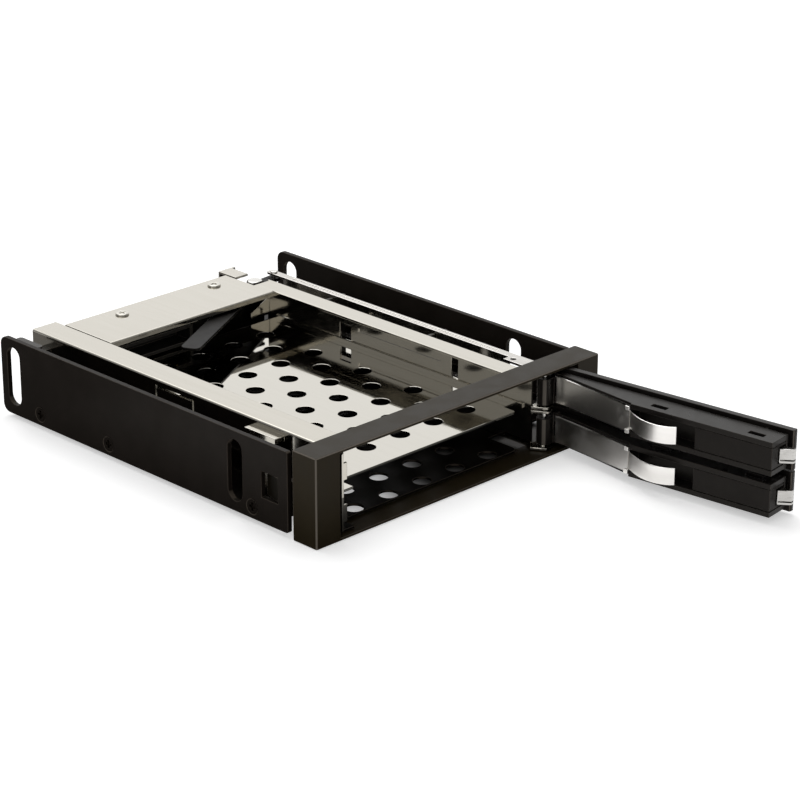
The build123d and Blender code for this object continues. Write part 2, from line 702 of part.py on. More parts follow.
# Perforated divider between the two drive bays
with BuildPart() as divider_plate:
    block(WALL_XL, WALL_XR, DIV_FRONT, DIV_REAR, DIV_Z0, DIV_TOP)
    block(WALL_XL, WALL_XL + TAB_W - SHEET, DIV_TAB_Y, DIV_FRONT, DIV_Z0, DIV_TOP)
    block(DIV_CUT_X, WALL_XR, DIV_FRONT - 1, DIV_CUT_Y, DIV_Z0 - 1, DIV_TOP + 1, Mode.SUBTRACT)
    corner = (DIV_CUT_X, DIV_FRONT, DIV_Z0)
    fillet(divider_plate.edges().filter_by(Axis.Z).sort_by_distance(corner)[0], DIV_CUT_R)
    with BuildSketch(Plane.XY.offset(DIV_Z0)):
        with Locations(*perforation(DIV_ROW0, DIV_ROWS_END)):
            Circle(PERF_R)
    extrude(amount=SHEET, mode=Mode.SUBTRACT)
divider_plate.part.label = "divider_plate"
export_step(divider_plate.part, "parts/divider_plate.step")


# Screws that hold the cover to the bulkhead's top flange
with BuildPart() as cover_screws:
    for x, y in COVER_SCREWS:
        with Locations((x, y, CAGE_TOP)):
            Cylinder(COVER_HEAD_R, COVER_HEAD_H, align=(Align.CENTER, Align.CENTER, Align.MIN))
            Cylinder(COVER_SCREW_R, COVER_SCREW_LEN, align=(Align.CENTER, Align.CENTER, Align.MAX))
    fillet(cover_screws.faces().sort_by(Axis.Z)[-2:].edges(), COVER_HEAD_EDGE_R)
    for x, y in COVER_SCREWS:
        with Locations((x, y, CAGE_TOP + COVER_HEAD_H)):
            Box(COVER_CROSS_L, COVER_CROSS_W, COVER_CROSS_H, mode=Mode.SUBTRACT)
            Box(COVER_CROSS_W, COVER_CROSS_L, COVER_CROSS_H, mode=Mode.SUBTRACT)
cover_screws.part.label = "cover_screws"
export_step(cover_screws.part, "parts/cover_screws.step")


# Steel wall behind the drives, open for the sockets and for the two levers
with BuildPart() as bulkhead:
    block(WALL_XL, WALL_XR, BULK_Y, BULK_Y + SHEET, BASE_TOP, FLANGE_Z0)
    tab_x0 = COVER_XL + BULK_TAB_IN
    tab_x1 = COVER_CUT_X - 2 * BULK_TAB_IN
    block(tab_x0, tab_x1, BULK_Y, BULK_Y + BULK_TOP_TAB, FLANGE_Z0 - SHEET, FLANGE_Z0)
    for name, shift in LEVELS:
        z0 = LEVER_Z0 + shift - BULK_SLOT_GAP
        z1 = LEVER_Z0 + LEVER_T + shift + BULK_SLOT_GAP
        block(BULK_SLOT_X0, WALL_XR + 1, BULK_Y - 1, BULK_Y + SHEET + 1, z0, z1, Mode.SUBTRACT)
    for name, floor in BAY_FLOORS:
        z0 = floor + SOCKET_RISE - SOCKET_GAP
        z1 = floor + SOCKET_RISE + SOCKET_H + SOCKET_GAP
        x0 = SOCKET_X0 - SOCKET_GAP
        x1 = SOCKET_X0 + SOCKET_W + SOCKET_GAP
        block(x0, x1, BULK_Y - 1, BULK_Y + SHEET + 1, z0, z1, Mode.SUBTRACT)
    for x, y in COVER_SCREWS:
        post(x, y, FLANGE_Z0 - SHEET - 1, FLANGE_Z0 + 1, COVER_SCREW_R + SCREW_GAP, Mode.SUBTRACT)
bulkhead.part.label = "bulkhead"
export_step(bulkhead.part, "parts/bulkhead.step")


# Threaded standoffs between the bulkhead and the circuit board
with BuildPart() as board_standoffs:
    for x, z in STANDOFFS:
        along_y(x, z, BULK_Y + SHEET, BOARD_Y, STANDOFF_R)
        along_y(x, z, BOARD_Y - BOARD_SCREW_LEN, BOARD_Y, BOARD_SCREW_R + SCREW_GAP, Mode.SUBTRACT)
board_standoffs.part.label = "board_standoffs"
export_step(board_standoffs.part, "parts/board_standoffs.step")


# Backplane circuit board
with BuildPart() as backplane_board:
    block(BOARD_X0, BOARD_X1, BOARD_Y, BOARD_Y + BOARD_T, BOARD_Z0, BOARD_Z1)
    fillet(backplane_board.edges().filter_by(Axis.Y), BOARD_CORNER_R)
    for x, z in STANDOFFS:
        along_y(x, z, BOARD_Y - 1, BOARD_Y + BOARD_T + 1, BOARD_SCREW_R + SCREW_GAP, Mode.SUBTRACT)
backplane_board.part.label = "backplane_board"
export_step(backplane_board.part, "parts/backplane_board.step")


# Screws that hold the board to its standoffs
with BuildPart() as board_screws:
    for x, z in STANDOFFS:
        along_y(x, z, BOARD_Y + BOARD_T, BOARD_Y + BOARD_T + BOARD_HEAD_H, BOARD_HEAD_R)
        along_y(x, z, BOARD_Y - BOARD_SCREW_LEN + SCREW_GAP, BOARD_Y + BOARD_T, BOARD_SCREW_R)
board_screws.part.label = "board_screws"
export_step(board_screws.part, "parts/board_screws.step")


# Drive sockets, one for each bay, open to the front
for name, floor in BAY_FLOORS:
    socket_z0 = floor + SOCKET_RISE
    socket_z1 = socket_z0 + SOCKET_H
    with BuildPart() as drive_socket:
        block(SOCKET_X0, SOCKET_X0 + SOCKET_W, SOCKET_FRONT, BOARD_Y, socket_z0, socket_z1)
        data_x1 = SOCKET_X0 + SOCKET_DATA_W
        power_x0 = data_x1 + SOCKET_WALL
        for x0, x1 in ((SOCKET_X0 + SOCKET_WALL, data_x1), (power_x0, SOCKET_X0 + SOCKET_W - SOCKET_WALL)):
            y1 = SOCKET_FRONT + SOCKET_POCKET
            z0 = socket_z0 + SOCKET_WALL
            z1 = socket_z1 - SOCKET_WALL
            block(x0, x1, SOCKET_FRONT - 1, y1, z0, z1, Mode.SUBTRACT)
    drive_socket.part.label = f"{name}_drive_socket"
    export_step(drive_socket.part, f"parts/{name}_drive_socket.step")

    # Contact strips along the roof of the socket's two pockets
    with BuildPart() as socket_contacts:
        z1 = socket_z1 - SOCKET_WALL
        for start, count in CONTACT_ROWS:
            for step in range(count):
                x0 = SOCKET_X0 + start + step * CONTACT_PITCH
                y0 = SOCKET_FRONT + CONTACT_SET
                block(x0, x0 + CONTACT_W, y0, SOCKET_FRONT + SOCKET_POCKET, z1 - CONTACT_T, z1)
    socket_contacts.part.label = f"{name}_socket_contacts"
    export_step(socket_contacts.part, f"parts/{name}_socket_contacts.step")


def rear_port(x0, width, z0, height, key):
    """Shrouded plug connector on the rear face of the board, open to the rear."""
    y0 = BOARD_Y + BOARD_T
    with BuildPart() as port:
        block(x0, x0 + width, y0, PORT_Y1, z0, z0 + height)
        low = z0 + PORT_WALL
        high = z0 + height - PORT_WALL
        right = x0 + width - PORT_WALL
        block(x0 + PORT_WALL, right, y0 + PORT_FLOOR, PORT_Y1 + 1, low, high, Mode.SUBTRACT)
        mid = z0 + height / 2
        tip = PORT_Y1 - PORT_LIP
        left = x0 + PORT_WALL + PORT_LIP
        block(left, right - key, y0 + TONGUE_T, tip, mid - TONGUE_T / 2, mid + TONGUE_T / 2)
        block(right - key - TONGUE_T, right - key, y0 + TONGUE_T, tip, mid - TONGUE_T, mid)
    return port


left_data_port = rear_port(PORT_X0S[0], PORT_W, PORT_Z0, PORT_H, PORT_KEY)
left_data_port.part.label = "left_data_port"
export_step(left_data_port.part, "parts/left_data_port.step")

right_data_port = rear_port(PORT_X0S[1], PORT_W, PORT_Z0, PORT_H, PORT_KEY)
right_data_port.part.label = "right_data_port"
export_step(right_data_port.part, "parts/right_data_port.step")

power_inlet = rear_port(INLET_X0, INLET_W, INLET_Z0, INLET_H, INLET_KEY)
power_inlet.part.label = "power_inlet"
export_step(power_inlet.part, "parts/power_inlet.step")


# Capacitors and chips on the rear face of the board
with BuildPart() as board_components:
    y0 = BOARD_Y + BOARD_T
    for x, z in CAPACITORS:
        along_y(x, z, y0, y0 + CAPACITOR_L, CAPACITOR_R)
    for x0, length, z0, height, thickness in CHIPS:
        block(x0, x0 + length, y0, y0 + thickness, z0, z0 + height)
    for step in range(RESISTOR_COUNT):
        x0 = RESISTOR_X0 + step * RESISTOR_PITCH
        block(x0, x0 + RESISTOR_L, y0, y0 + RESISTOR_T, RESISTOR_Z0, RESISTOR_Z0 + RESISTOR_W)
board_components.part.label = "board_components"
export_step(board_components.part, "parts/board_components.step")


# Shaft that carries both ejector levers, with a broad rivet head
with BuildPart() as ejector_shaft:
    post(PIVOT_X, PIVOT_Y, BASE_TOP, SHAFT_TOP, SHAFT_R)
    post(PIVOT_X, PIVOT_Y, SHAFT_TOP, SHAFT_TOP + SHAFT_HEAD_H, SHAFT_HEAD_R)
    fillet(ejector_shaft.faces().sort_by(Axis.Z)[-1].edges(), SHAFT_HEAD_EDGE_R)
ejector_shaft.part.label = "ejector_shaft"
export_step(ejector_shaft.part, "parts/ejector_shaft.step")


# Sleeves that hold the levers at their heights on the shaft
with BuildPart() as lever_spacers:
    low = LEVER_Z0 - DOOR_PITCH
    for z0, z1 in ((BASE_TOP, low - SPACER_GAP), (low + LEVER_T + SPACER_GAP, LEVER_Z0 - SPACER_GAP)):
        post(PIVOT_X, PIVOT_Y, z0, z1, SPACER_R)
        post(PIVOT_X, PIVOT_Y, z0, z1, SHAFT_R + LEVER_GAP, Mode.SUBTRACT)
lever_spacers.part.label = "lever_spacers"
export_step(lever_spacers.part, "parts/lever_spacers.step")


# Rear right upright with a tab folded forward over the levers
with BuildPart() as rear_post:
    x0 = WALL_XR - REAR_POST_W
    top = CAGE_TOP + REAR_POST_RISE
    block(x0, WALL_XR + REAR_POST_OUT, BASE_REAR - SHEET, BASE_REAR, BASE_TOP, top)
    block(x0, WALL_XR - SHEET, REAR_TAB_Y0, BASE_REAR, top - SHEET, top)
rear_post.part.label = "rear_post"
export_step(rear_post.part, "parts/rear_post.step")


def lever_plane(angle, z):
    """Plane at the lever's shaft, X along an arm at the given angle."""
    direction = (cos(radians(angle)), sin(radians(angle)), 0)
    return Plane(origin=(PIVOT_X, PIVOT_Y, z), x_dir=direction, z_dir=(0, 0, 1))


# Ejector levers with a long inner arm and a short slotted outer arm
for name, shift in LEVELS:
    z0 = LEVER_Z0 + shift
    with BuildPart() as lever:
        with BuildSketch(lever_plane(180 + LEVER_SWING, z0)):
            with Locations((LEVER_L / 2, 0)):
                RectangleRounded(LEVER_L, LEVER_W, LEVER_TIP_R)
            Circle(LEVER_W / 2)
        extrude(amount=LEVER_T)
        with BuildSketch(lever_plane(RIVET_A0, z0)):
            with Locations(((RIVET_X + ARM_OVER) / 2, 0)):
                Rectangle(RIVET_X + ARM_OVER, ARM_W)
            with Locations((RIVET_X + ARM_OVER, 0)):
                Circle(ARM_W / 2)
        extrude(amount=LEVER_T)
        reach = RIVET_X / cos(radians(RIVET_A1))
        with BuildSketch(lever_plane(RIVET_A0, z0)):
            with Locations(((RIVET_X + reach) / 2, 0)):
                SlotOverall(reach - RIVET_X + 2 * (RIVET_R + 2 * RIVET_GAP), 2 * (RIVET_R + RIVET_GAP))
        extrude(amount=LEVER_T, mode=Mode.SUBTRACT)
        post(PIVOT_X, PIVOT_Y, z0, z0 + LEVER_T, SHAFT_R + LEVER_GAP, Mode.SUBTRACT)
    lever.part.label = f"{name}_ejector_lever"
    export_step(lever.part, f"parts/{name}_ejector_lever.step")


# Ejector bars, pulled and pushed by the doors
for name, shift in LEVELS:
    top = BAR_TOP + shift
    bar_x0 = BAR_X - BAR_W / 2
    bar_x1 = BAR_X + BAR_W / 2
    crank_y = HINGE_Y + CRANK_Y
    slot_l = CRANK_THROW - CRANK_X + 2 * (CRANK_R + CRANK_GAP)
    slot_x = HINGE_X + (CRANK_X + CRANK_THROW) / 2
    rivet_y = PIVOT_Y + RIVET_Y
    with BuildPart() as ejector_bar:
        block(bar_x0, bar_x1, BAR_FRONT, BAR_HEAD_CLEAR, top - BAR_H, top)
        block(bar_x0, bar_x1, BAR_HEAD_CLEAR, BAR_REAR, top - BAR_WALL, top)
        x0 = bar_x0 + BAR_WALL
        x1 = bar_x1 - BAR_WALL
        roof = top - BAR_WALL
        block(x0, x1, BAR_FRONT - 1, BAR_HEAD_CLEAR + 1, top - BAR_H - 1, roof, Mode.SUBTRACT)
        x0 = BAR_X - BAR_GROOVE_W / 2
        x1 = BAR_X + BAR_GROOVE_W / 2
        block(x0, x1, BAR_GROOVE_Y0, BAR_GROOVE_Y1, top - BAR_GROOVE_D, top + 1, Mode.SUBTRACT)
        block(YOKE_X0, bar_x1, YOKE_WIDE_Y, BAR_FRONT, top - YOKE_T, top)
        block(YOKE_PIN_X, YOKE_X1, crank_y - YOKE_MARGIN, YOKE_WIDE_Y, top - YOKE_T, top)
        with BuildSketch(Plane.XY.offset(top - YOKE_T)):
            with Locations((slot_x, crank_y)):
                SlotOverall(slot_l, 2 * (CRANK_R + CRANK_GAP))
            with Locations((YOKE_X0 + TAB_HOLE_IN, TAB_HOLE_Y)):
                Circle(TAB_HOLE_R)
        extrude(amount=YOKE_T, mode=Mode.SUBTRACT)
        post(BAR_X, rivet_y, top - BAR_WALL, top, RIVET_R + RIVET_GAP, Mode.SUBTRACT)
        fillet(ejector_bar.faces().sort_by(Axis.Y)[-1].edges().filter_by(Axis.Z), BAR_TAIL_R)
    ejector_bar.part.label = f"{name}_ejector_bar"
    export_step(ejector_bar.part, f"parts/{name}_ejector_bar.step")

    # Rivet that joins the bar to its lever
    with BuildPart() as bar_rivet:
        lever_z0 = LEVER_Z0 + shift
        tail = lever_z0 - RIVET_DROP
        post(BAR_X, rivet_y, tail, top, RIVET_R)
        post(BAR_X, rivet_y, top, top + RIVET_HEAD_H, RIVET_HEAD_R)
        post(BAR_X, rivet_y, tail - RIVET_TAIL_H, tail, RIVET_HEAD_R)
    bar_rivet.part.label = f"{name}_bar_rivet"
    export_step(bar_rivet.part, f"parts/{name}_bar_rivet.step")


# Upright combs beside the right wall that guide the bars
with BuildPart() as bar_guides:
    for y in GUIDE_YS:
        block(CAGE_XR, GUIDE_X1, y, y + GUIDE_T, BASE_TOP, GUIDE_Z1)
        x0 = BAR_X - BAR_W / 2 - GUIDE_GAP
        x1 = BAR_X + BAR_W / 2 + GUIDE_GAP
        block(x0, x1, y - 1, y + GUIDE_T + 1, BAR_TOP - BAR_H - GUIDE_GAP, GUIDE_Z1 + 1, Mode.SUBTRACT)
        low = BAR_TOP - DOOR_PITCH
        block(x0, x1, y - 1, y + GUIDE_T + 1, low - BAR_H - GUIDE_GAP, low + GUIDE_GAP, Mode.SUBTRACT)
bar_guides.part.label = "bar_guides"
export_step(bar_guides.part, "parts/bar_guides.step")


# Bent steel spacer between the left wall and the left side plate, near the front
with BuildPart() as front_spacer:
    x0 = CAGE_XL - FRONT_SPACER_W
    y1 = FRONT_SPACER_Y1 - SHEET
    roof = FRONT_SPACER_Z1 - FRONT_SPACER_ROOF
    block(x0, CAGE_XL, FRONT_SPACER_Y0, FRONT_SPACER_Y1, BASE_TOP, FRONT_SPACER_Z1)
    block(x0 + SHEET, CAGE_XL, FRONT_SPACER_Y0 - 1, y1, BASE_TOP + SHEET, roof, Mode.SUBTRACT)
    fillet(front_spacer.edges().filter_by(Axis.X).sort_by(Axis.Z)[-1], FRONT_SPACER_R)
front_spacer.part.label = "front_spacer"
export_step(front_spacer.part, "parts/front_spacer.step")


# Dark spacer block between the left wall and the left side plate, at the rear
with BuildPart() as rear_spacer:
    z1 = REAR_SPACER_Z1
    top = z1 + REAR_STRIP_H
    block(REAR_SPACER_X0, CAGE_XL, REAR_SPACER_Y0, REAR_SPACER_Y1, BASE_TOP, z1)
    block(REAR_STRIP_X0, REAR_STRIP_X1, REAR_STRIP_Y0, REAR_STRIP_Y1, z1, top)
    fillet(rear_spacer.edges().filter_by(Axis.Z).filter_by_position(Axis.Z, z1, top), REAR_STRIP_R)
rear_spacer.part.label = "rear_spacer"
export_step(rear_spacer.part, "parts/rear_spacer.step")


# Hinge pin through all four ears
with BuildPart() as hinge_pin:
    post(HINGE_X, HINGE_Y, BASE_Z0 - PIN_PROUD, EAR_LEVELS[3] + SHEET + PIN_PROUD, PIN_R)
hinge_pin.part.label = "hinge_pin"
export_step(hinge_pin.part, "parts/hinge_pin.step")


# Doors, built in the open position
for name, shift in LEVELS:
    # Front panel with a recess for the release slider
    with BuildPart() as door_panel:
        door_block(PANEL_U0, PANEL_U1, PANEL_V, FACE_V, PANEL_Z0 + shift, PANEL_Z1 + shift)
        far_edges = door_panel.edges().filter_by(Axis.Z).sort_by(Axis.Y)[:2]
        fillet(far_edges, PANEL_EDGE_R)
        z0 = SLIDER_Z0 + shift - SLIDER_GAP
        z1 = SLIDER_Z1 + shift + SLIDER_GAP
        u0 = SLIDER_U0 - BOLT_TRAVEL - SLIDER_GAP
        pocket_v = FACE_V + SLIDER_OUT - SLIDER_T - SLIDER_GAP
        door_block(u0, SLIDER_U1 + SLIDER_GAP, pocket_v, FACE_V + 1, z0, z1, Mode.SUBTRACT)
        u0 = STEM_U0 - BOLT_TRAVEL - SLIDER_GAP
        z0 = STEM_Z0 + shift - SLIDER_GAP
        z1 = STEM_Z1 + shift + SLIDER_GAP
        door_block(u0, STEM_U1 + SLIDER_GAP, PANEL_V - 1, pocket_v + 0.5, z0, z1, Mode.SUBTRACT)
    door_panel.part.label = f"{name}_door_panel"
    export_step(door_panel.part, f"parts/{name}_door_panel.step")

    # Body with the hinge block, the wedge, two shelves and a back web
    with BuildPart() as door_body:
        z0 = WEDGE_Z0 + shift
        z1 = BLOCK_Z1 + shift
        door_post(0, 0, z0, z1, KNUCKLE_R)
        door_post(CRANK_U, CRANK_V, z0, z1, CRANK_R + CRANK_BOSS)
        door_shape(
            (
                (-KNUCKLE_R, 0),
                (CRANK_U - BLOCK_CRANK_OUT, CRANK_V),
                (PANEL_U0 - BLOCK_PANEL_OUT, PANEL_V),
                (WEDGE_U0, PANEL_V),
                (WEDGE_U0, WEDGE_V0),
                (KNUCKLE_R, WEDGE_V0),
                (KNUCKLE_R, 0),
            ),
            z0,
            z1,
        )
        wedge = (
            (KNUCKLE_R, GROOVE_V),
            (KNUCKLE_R, WEDGE_V0),
            (WEDGE_U0, WEDGE_V0),
            (WEDGE_U1, WEDGE_V1),
            (WEDGE_U1, GROOVE_V),
        )
        door_shape(wedge, z0, BODY_Z1 + shift)
        shelf0 = BODY_Z0 + shift
        shelf1 = BODY_Z1 + shift
        door_block(WEDGE_U1, BODY_U1, INNER_V, GROOVE_V, shelf0, shelf0 + SHELF_T)
        door_block(WEDGE_U1, BODY_U1, INNER_V, GROOVE_V, shelf1 - SHELF_T, shelf1)
        door_block(WEDGE_U1, RECESS_U1, RECESS_V, GROOVE_V, shelf0 + SHELF_T, shelf1 - SHELF_T)
        door_block(RECESS_U1, BODY_U1, WEB_V, GROOVE_V, shelf0 + SHELF_T, shelf1 - SHELF_T)
        door_block(KNUCKLE_R, BODY_U1 - WEB_END, GROOVE_V, PANEL_V, z0 + GROOVE_H, shelf1 - GROOVE_H)
        # Bridge between the body and the panel near the free end
        door_block(BRIDGE_U0, BRIDGE_U0 + BRIDGE_W, GROOVE_V, PANEL_V, shelf0, shelf1)
        # Pocket for the curled end of the spring plate
        pocket_z0 = STRIP_Z0 + shift - POCKET_END
        pocket_z1 = STRIP_Z1 + shift + POCKET_END
        door_post(CURL_U, CURL_V, pocket_z0, pocket_z1, CURL_R + POCKET_GAP, Mode.SUBTRACT)
        pocket = (
            (CURL_U - POCKET_ROOT, CURL_V - POCKET_D),
            (CURL_U - POCKET_ROOT, CURL_V),
            (CURL_U + CURL_R + POCKET_GAP, CURL_V),
            (CURL_U + CURL_R + POCKET_GAP, CURL_V - POCKET_D),
        )
        door_shape(pocket, pocket_z0, pocket_z1, Mode.SUBTRACT)
        door_post(CURL_U, CURL_V, z0 - 1, shelf1 + 1, PLATE_PIN_R + PIN_SEAT, Mode.SUBTRACT)
        # Bores for the hinge pin and the crank pin
        door_post(0, 0, z0 - 1, z1 + 1, PIN_R + HINGE_PIN_GAP, Mode.SUBTRACT)
        door_post(CRANK_U, CRANK_V, z1 - CRANK_HOLE_D, z1, CRANK_R + PIN_SEAT, Mode.SUBTRACT)
        for u in BODY_WINDOWS:
            half_l = BODY_WINDOW_L / 2
            half_w = BODY_WINDOW_W / 2
            v0 = BODY_WINDOW_V - half_w
            v1 = BODY_WINDOW_V + half_w
            door_block(u - half_l, u + half_l, v0, v1, shelf1 - SHELF_T, shelf1, Mode.SUBTRACT)
            door_block(u - half_l, u + half_l, v0, v1, shelf0, shelf0 + SHELF_T, Mode.SUBTRACT)
        # Slot for the slider's stem
        u0 = STEM_U0 - BOLT_TRAVEL - SLIDER_GAP
        stem0 = STEM_Z0 + shift - SLIDER_GAP
        stem1 = STEM_Z1 + shift + SLIDER_GAP
        door_block(u0, STEM_U1 + SLIDER_GAP, WEB_V - 1, PANEL_V + 1, stem0, stem1, Mode.SUBTRACT)
    door_body.part.label = f"{name}_door_body"
    export_step(door_body.part, f"parts/{name}_door_body.step")

    # Insert between the shelves, with the channel of the latch bolt
    with BuildPart() as door_insert:
        z0 = BODY_Z0 + SHELF_T + INSERT_GAP + shift
        z1 = BODY_Z1 - SHELF_T - INSERT_GAP + shift
        door_block(INSERT_U0, BODY_U1 - INSERT_BACK, INSERT_V0, INSERT_V1, z0, z1)
        c0 = BOLT_Z0 + shift - BOLT_GAP
        c1 = BOLT_Z1 + shift + BOLT_GAP
        door_block(CHANNEL_U0, BODY_U1 + 1, BOLT_V0 - BOLT_GAP, INSERT_V1 + 1, c0, c1, Mode.SUBTRACT)
    door_insert.part.label = f"{name}_door_insert"
    export_step(door_insert.part, f"parts/{name}_door_insert.step")

    # Latch bolt with a slanted nose and a thin lower lip
    with BuildPart() as latch_bolt:
        tip_u = BODY_U1 + BOLT_OUT
        nose_u = BODY_U1 + BOLT_NOSE_U
        door_shape(
            (
                (BOLT_U0, BOLT_V0),
                (nose_u, BOLT_V0),
                (tip_u, BOLT_V1 - BOLT_NOSE_W),
                (tip_u, BOLT_V1),
                (BOLT_U0, BOLT_V1),
            ),
            BOLT_Z0 + shift,
            BOLT_Z1 + shift,
        )
        low = BOLT_Z0 + shift + BOLT_GROOVE_Z
        high = low + BOLT_GROOVE_H
        door_block(nose_u, tip_u + 1, BOLT_V0 - 1, BOLT_V1 + 1, low, high, Mode.SUBTRACT)
        door_block(STEM_U0, STEM_U1, STEM_V, BOLT_V1 + 1, STEM_Z0 + shift, STEM_Z1 + shift, Mode.SUBTRACT)
    latch_bolt.part.label = f"{name}_latch_bolt"
    export_step(latch_bolt.part, f"parts/{name}_latch_bolt.step")

    # Coil spring behind the bolt, drawn at its working length
    spring_u0 = CHANNEL_U0 + SPRING_WIRE_R
    spring_l = BOLT_U0 - BOLT_TRAVEL - CHANNEL_U0 - 2 * SPRING_WIRE_R - SPRING_END_GAP
    spring_v = (BOLT_V0 + BOLT_V1) / 2
    spring_x = HINGE_X + spring_u0 * DOOR_U[0] + spring_v * DOOR_V[0]
    spring_y = HINGE_Y + spring_u0 * DOOR_U[1] + spring_v * DOOR_V[1]
    spring_z = (BOLT_Z0 + BOLT_Z1) / 2 + shift
    with BuildPart() as latch_spring:
        with BuildLine() as coil:
            Helix(
                spring_l / SPRING_TURNS,
                spring_l,
                SPRING_R,
                center=(spring_x, spring_y, spring_z),
                direction=DOOR_U,
            )
        with BuildSketch(Plane(origin=coil.line @ 0, z_dir=coil.line % 0)):
            Circle(SPRING_WIRE_R)
        sweep(path=coil.line)
    latch_spring.part.label = f"{name}_latch_spring"
    export_step(latch_spring.part, f"parts/{name}_latch_spring.step")

    # Release slider with grip ribs and a stem that reaches the bolt
    with BuildPart() as release_slider:
        pad_v1 = FACE_V + SLIDER_OUT
        door_block(SLIDER_U0, SLIDER_U1, pad_v1 - SLIDER_T, pad_v1, SLIDER_Z0 + shift, SLIDER_Z1 + shift)
        door_block(STEM_U0, STEM_U1, STEM_V, pad_v1 - SLIDER_T, STEM_Z0 + shift, STEM_Z1 + shift)
        for step in range(SLIDER_RIBS):
            u0 = (SLIDER_U0 + SLIDER_U1) / 2 + (step - (SLIDER_RIBS - 1) / 2) * RIB_PITCH - RIB_W / 2
            low = SLIDER_Z0 + shift + RIB_END
            high = SLIDER_Z1 + shift - RIB_END
            door_block(u0, u0 + RIB_W, pad_v1, pad_v1 + RIB_H, low, high)
    release_slider.part.label = f"{name}_release_slider"
    export_step(release_slider.part, f"parts/{name}_release_slider.step")

    # Crank pin that drives the bar's yoke
    with BuildPart() as crank_pin:
        low = BLOCK_Z1 + shift - CRANK_PIN_D
        door_post(CRANK_U, CRANK_V, low, BAR_TOP + shift + CRANK_PROUD, CRANK_R)
    crank_pin.part.label = f"{name}_crank_pin"
    export_step(crank_pin.part, f"parts/{name}_crank_pin.step")

    # Pin inside the curled end of the spring plate
    with BuildPart() as plate_pin:
        door_post(CURL_U, CURL_V, WEDGE_Z0 + shift, BODY_Z1 + shift - POCKET_END, PLATE_PIN_R)
    plate_pin.part.label = f"{name}_plate_pin"
    export_step(plate_pin.part, f"parts/{name}_plate_pin.step")

    # Spring plate: curled root, flat part along the wedge and a bowed leaf
    with BuildPart() as spring_plate:
        z0 = STRIP_Z0 + shift
        z1 = STRIP_Z1 + shift
        door_post(CURL_U, CURL_V, z0, z1, CURL_R)
        door_shape(
            (
                (CURL_U, CURL_V - CURL_R),
                (CURL_U, CURL_V - CURL_R + STRIP_T),
                (CURL_U + CURL_BEND, WEDGE_V0),
                (WEDGE_U0, WEDGE_V0),
                (WEDGE_U1, WEDGE_V1),
                (WEDGE_U1, WEDGE_V1 - STRIP_T),
                (WEDGE_U0, WEDGE_V0 - STRIP_T),
            ),
            z0,
            z1,
        )
        door_post(CURL_U, CURL_V, z0, z1, PLATE_PIN_R + CURL_GAP, Mode.SUBTRACT)
        # Window in the curl that shows the pin
        low = z0 + CURL_WINDOW_Z
        high = z1 - CURL_WINDOW_Z
        v0 = CURL_V - CURL_WINDOW_V
        door_block(CURL_U - 2, CURL_U, v0, CURL_V + LEAF_ROOT, low, high, Mode.SUBTRACT)
        outer_side = [(WEDGE_U1 - LEAF_ROOT, WEDGE_V1 - STRIP_T)]
        outer_side += [(u, v - STRIP_T) for u, v in LEAF_POINTS]
        inner_side = [(u, v + STRIP_T) for u, v in outer_side]
        with BuildSketch(door_plane(z0)):
            with BuildLine():
                Spline(*outer_side)
                Line(outer_side[-1], inner_side[-1])
                Spline(*reversed(inner_side))
                Line(inner_side[0], outer_side[0])
            make_face()
        extrude(amount=z1 - z0)
        # Side cuts that taper the leaf
        leaf_z0 = LEAF_Z0 + shift
        leaf_z1 = LEAF_Z1 + shift
        door_block(WEDGE_U1, LEAF_POINTS[-1][0] + 2, -9, 0, z0 - 1, leaf_z0, Mode.SUBTRACT)
        door_block(WEDGE_U1, LEAF_POINTS[-1][0] + 2, -9, 0, leaf_z1, z1 + 1, Mode.SUBTRACT)
        # Folded tabs at the corners of the flat part
        tab_v1 = WEDGE_V1 - STRIP_T
        tab_v0 = tab_v1 - STRIP_TAB_OUT
        for t0 in (z0, z1 - STRIP_TAB_H):
            door_block(WEDGE_U1 - STRIP_TAB_L, WEDGE_U1, tab_v0, tab_v1 + 0.1, t0, t0 + STRIP_TAB_H)
    spring_plate.part.label = f"{name}_spring_plate"
    export_step(spring_plate.part, f"parts/{name}_spring_plate.step")

print("stroke", round(STROKE, 3), "crank throw", round(CRANK_THROW, 3))
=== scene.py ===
"""Looks of a low drive cage with two side hinged doors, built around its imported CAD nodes."""

import json
import logging
import math
from dataclasses import dataclass, field
from enum import Enum
from typing import Callable, Optional, Sequence

import bmesh
import bpy
from mathutils import Matrix, Vector

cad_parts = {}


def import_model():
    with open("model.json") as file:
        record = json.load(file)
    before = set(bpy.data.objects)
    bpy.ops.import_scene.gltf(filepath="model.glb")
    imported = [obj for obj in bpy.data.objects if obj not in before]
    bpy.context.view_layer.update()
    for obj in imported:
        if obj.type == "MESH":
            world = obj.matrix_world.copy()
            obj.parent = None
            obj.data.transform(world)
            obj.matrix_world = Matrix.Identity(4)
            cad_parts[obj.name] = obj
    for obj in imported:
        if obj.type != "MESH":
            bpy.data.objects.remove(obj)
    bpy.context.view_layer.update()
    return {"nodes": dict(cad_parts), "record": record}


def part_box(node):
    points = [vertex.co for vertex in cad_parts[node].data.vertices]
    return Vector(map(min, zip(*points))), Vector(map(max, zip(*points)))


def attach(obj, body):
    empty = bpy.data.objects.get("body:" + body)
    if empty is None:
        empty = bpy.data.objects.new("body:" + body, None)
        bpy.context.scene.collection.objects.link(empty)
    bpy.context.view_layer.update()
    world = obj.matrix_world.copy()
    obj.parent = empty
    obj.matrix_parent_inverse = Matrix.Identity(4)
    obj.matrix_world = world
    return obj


LOG = logging.getLogger("drive_cage")
MM = 0.001

Point2 = tuple[float, float]
Point3 = tuple[float, float, float]
Colour = tuple[float, float, float, float]


def rgb(red: float, green: float, blue: float) -> Colour:
    """Opaque colour from three linear values."""
    return (red, green, blue, 1.0)


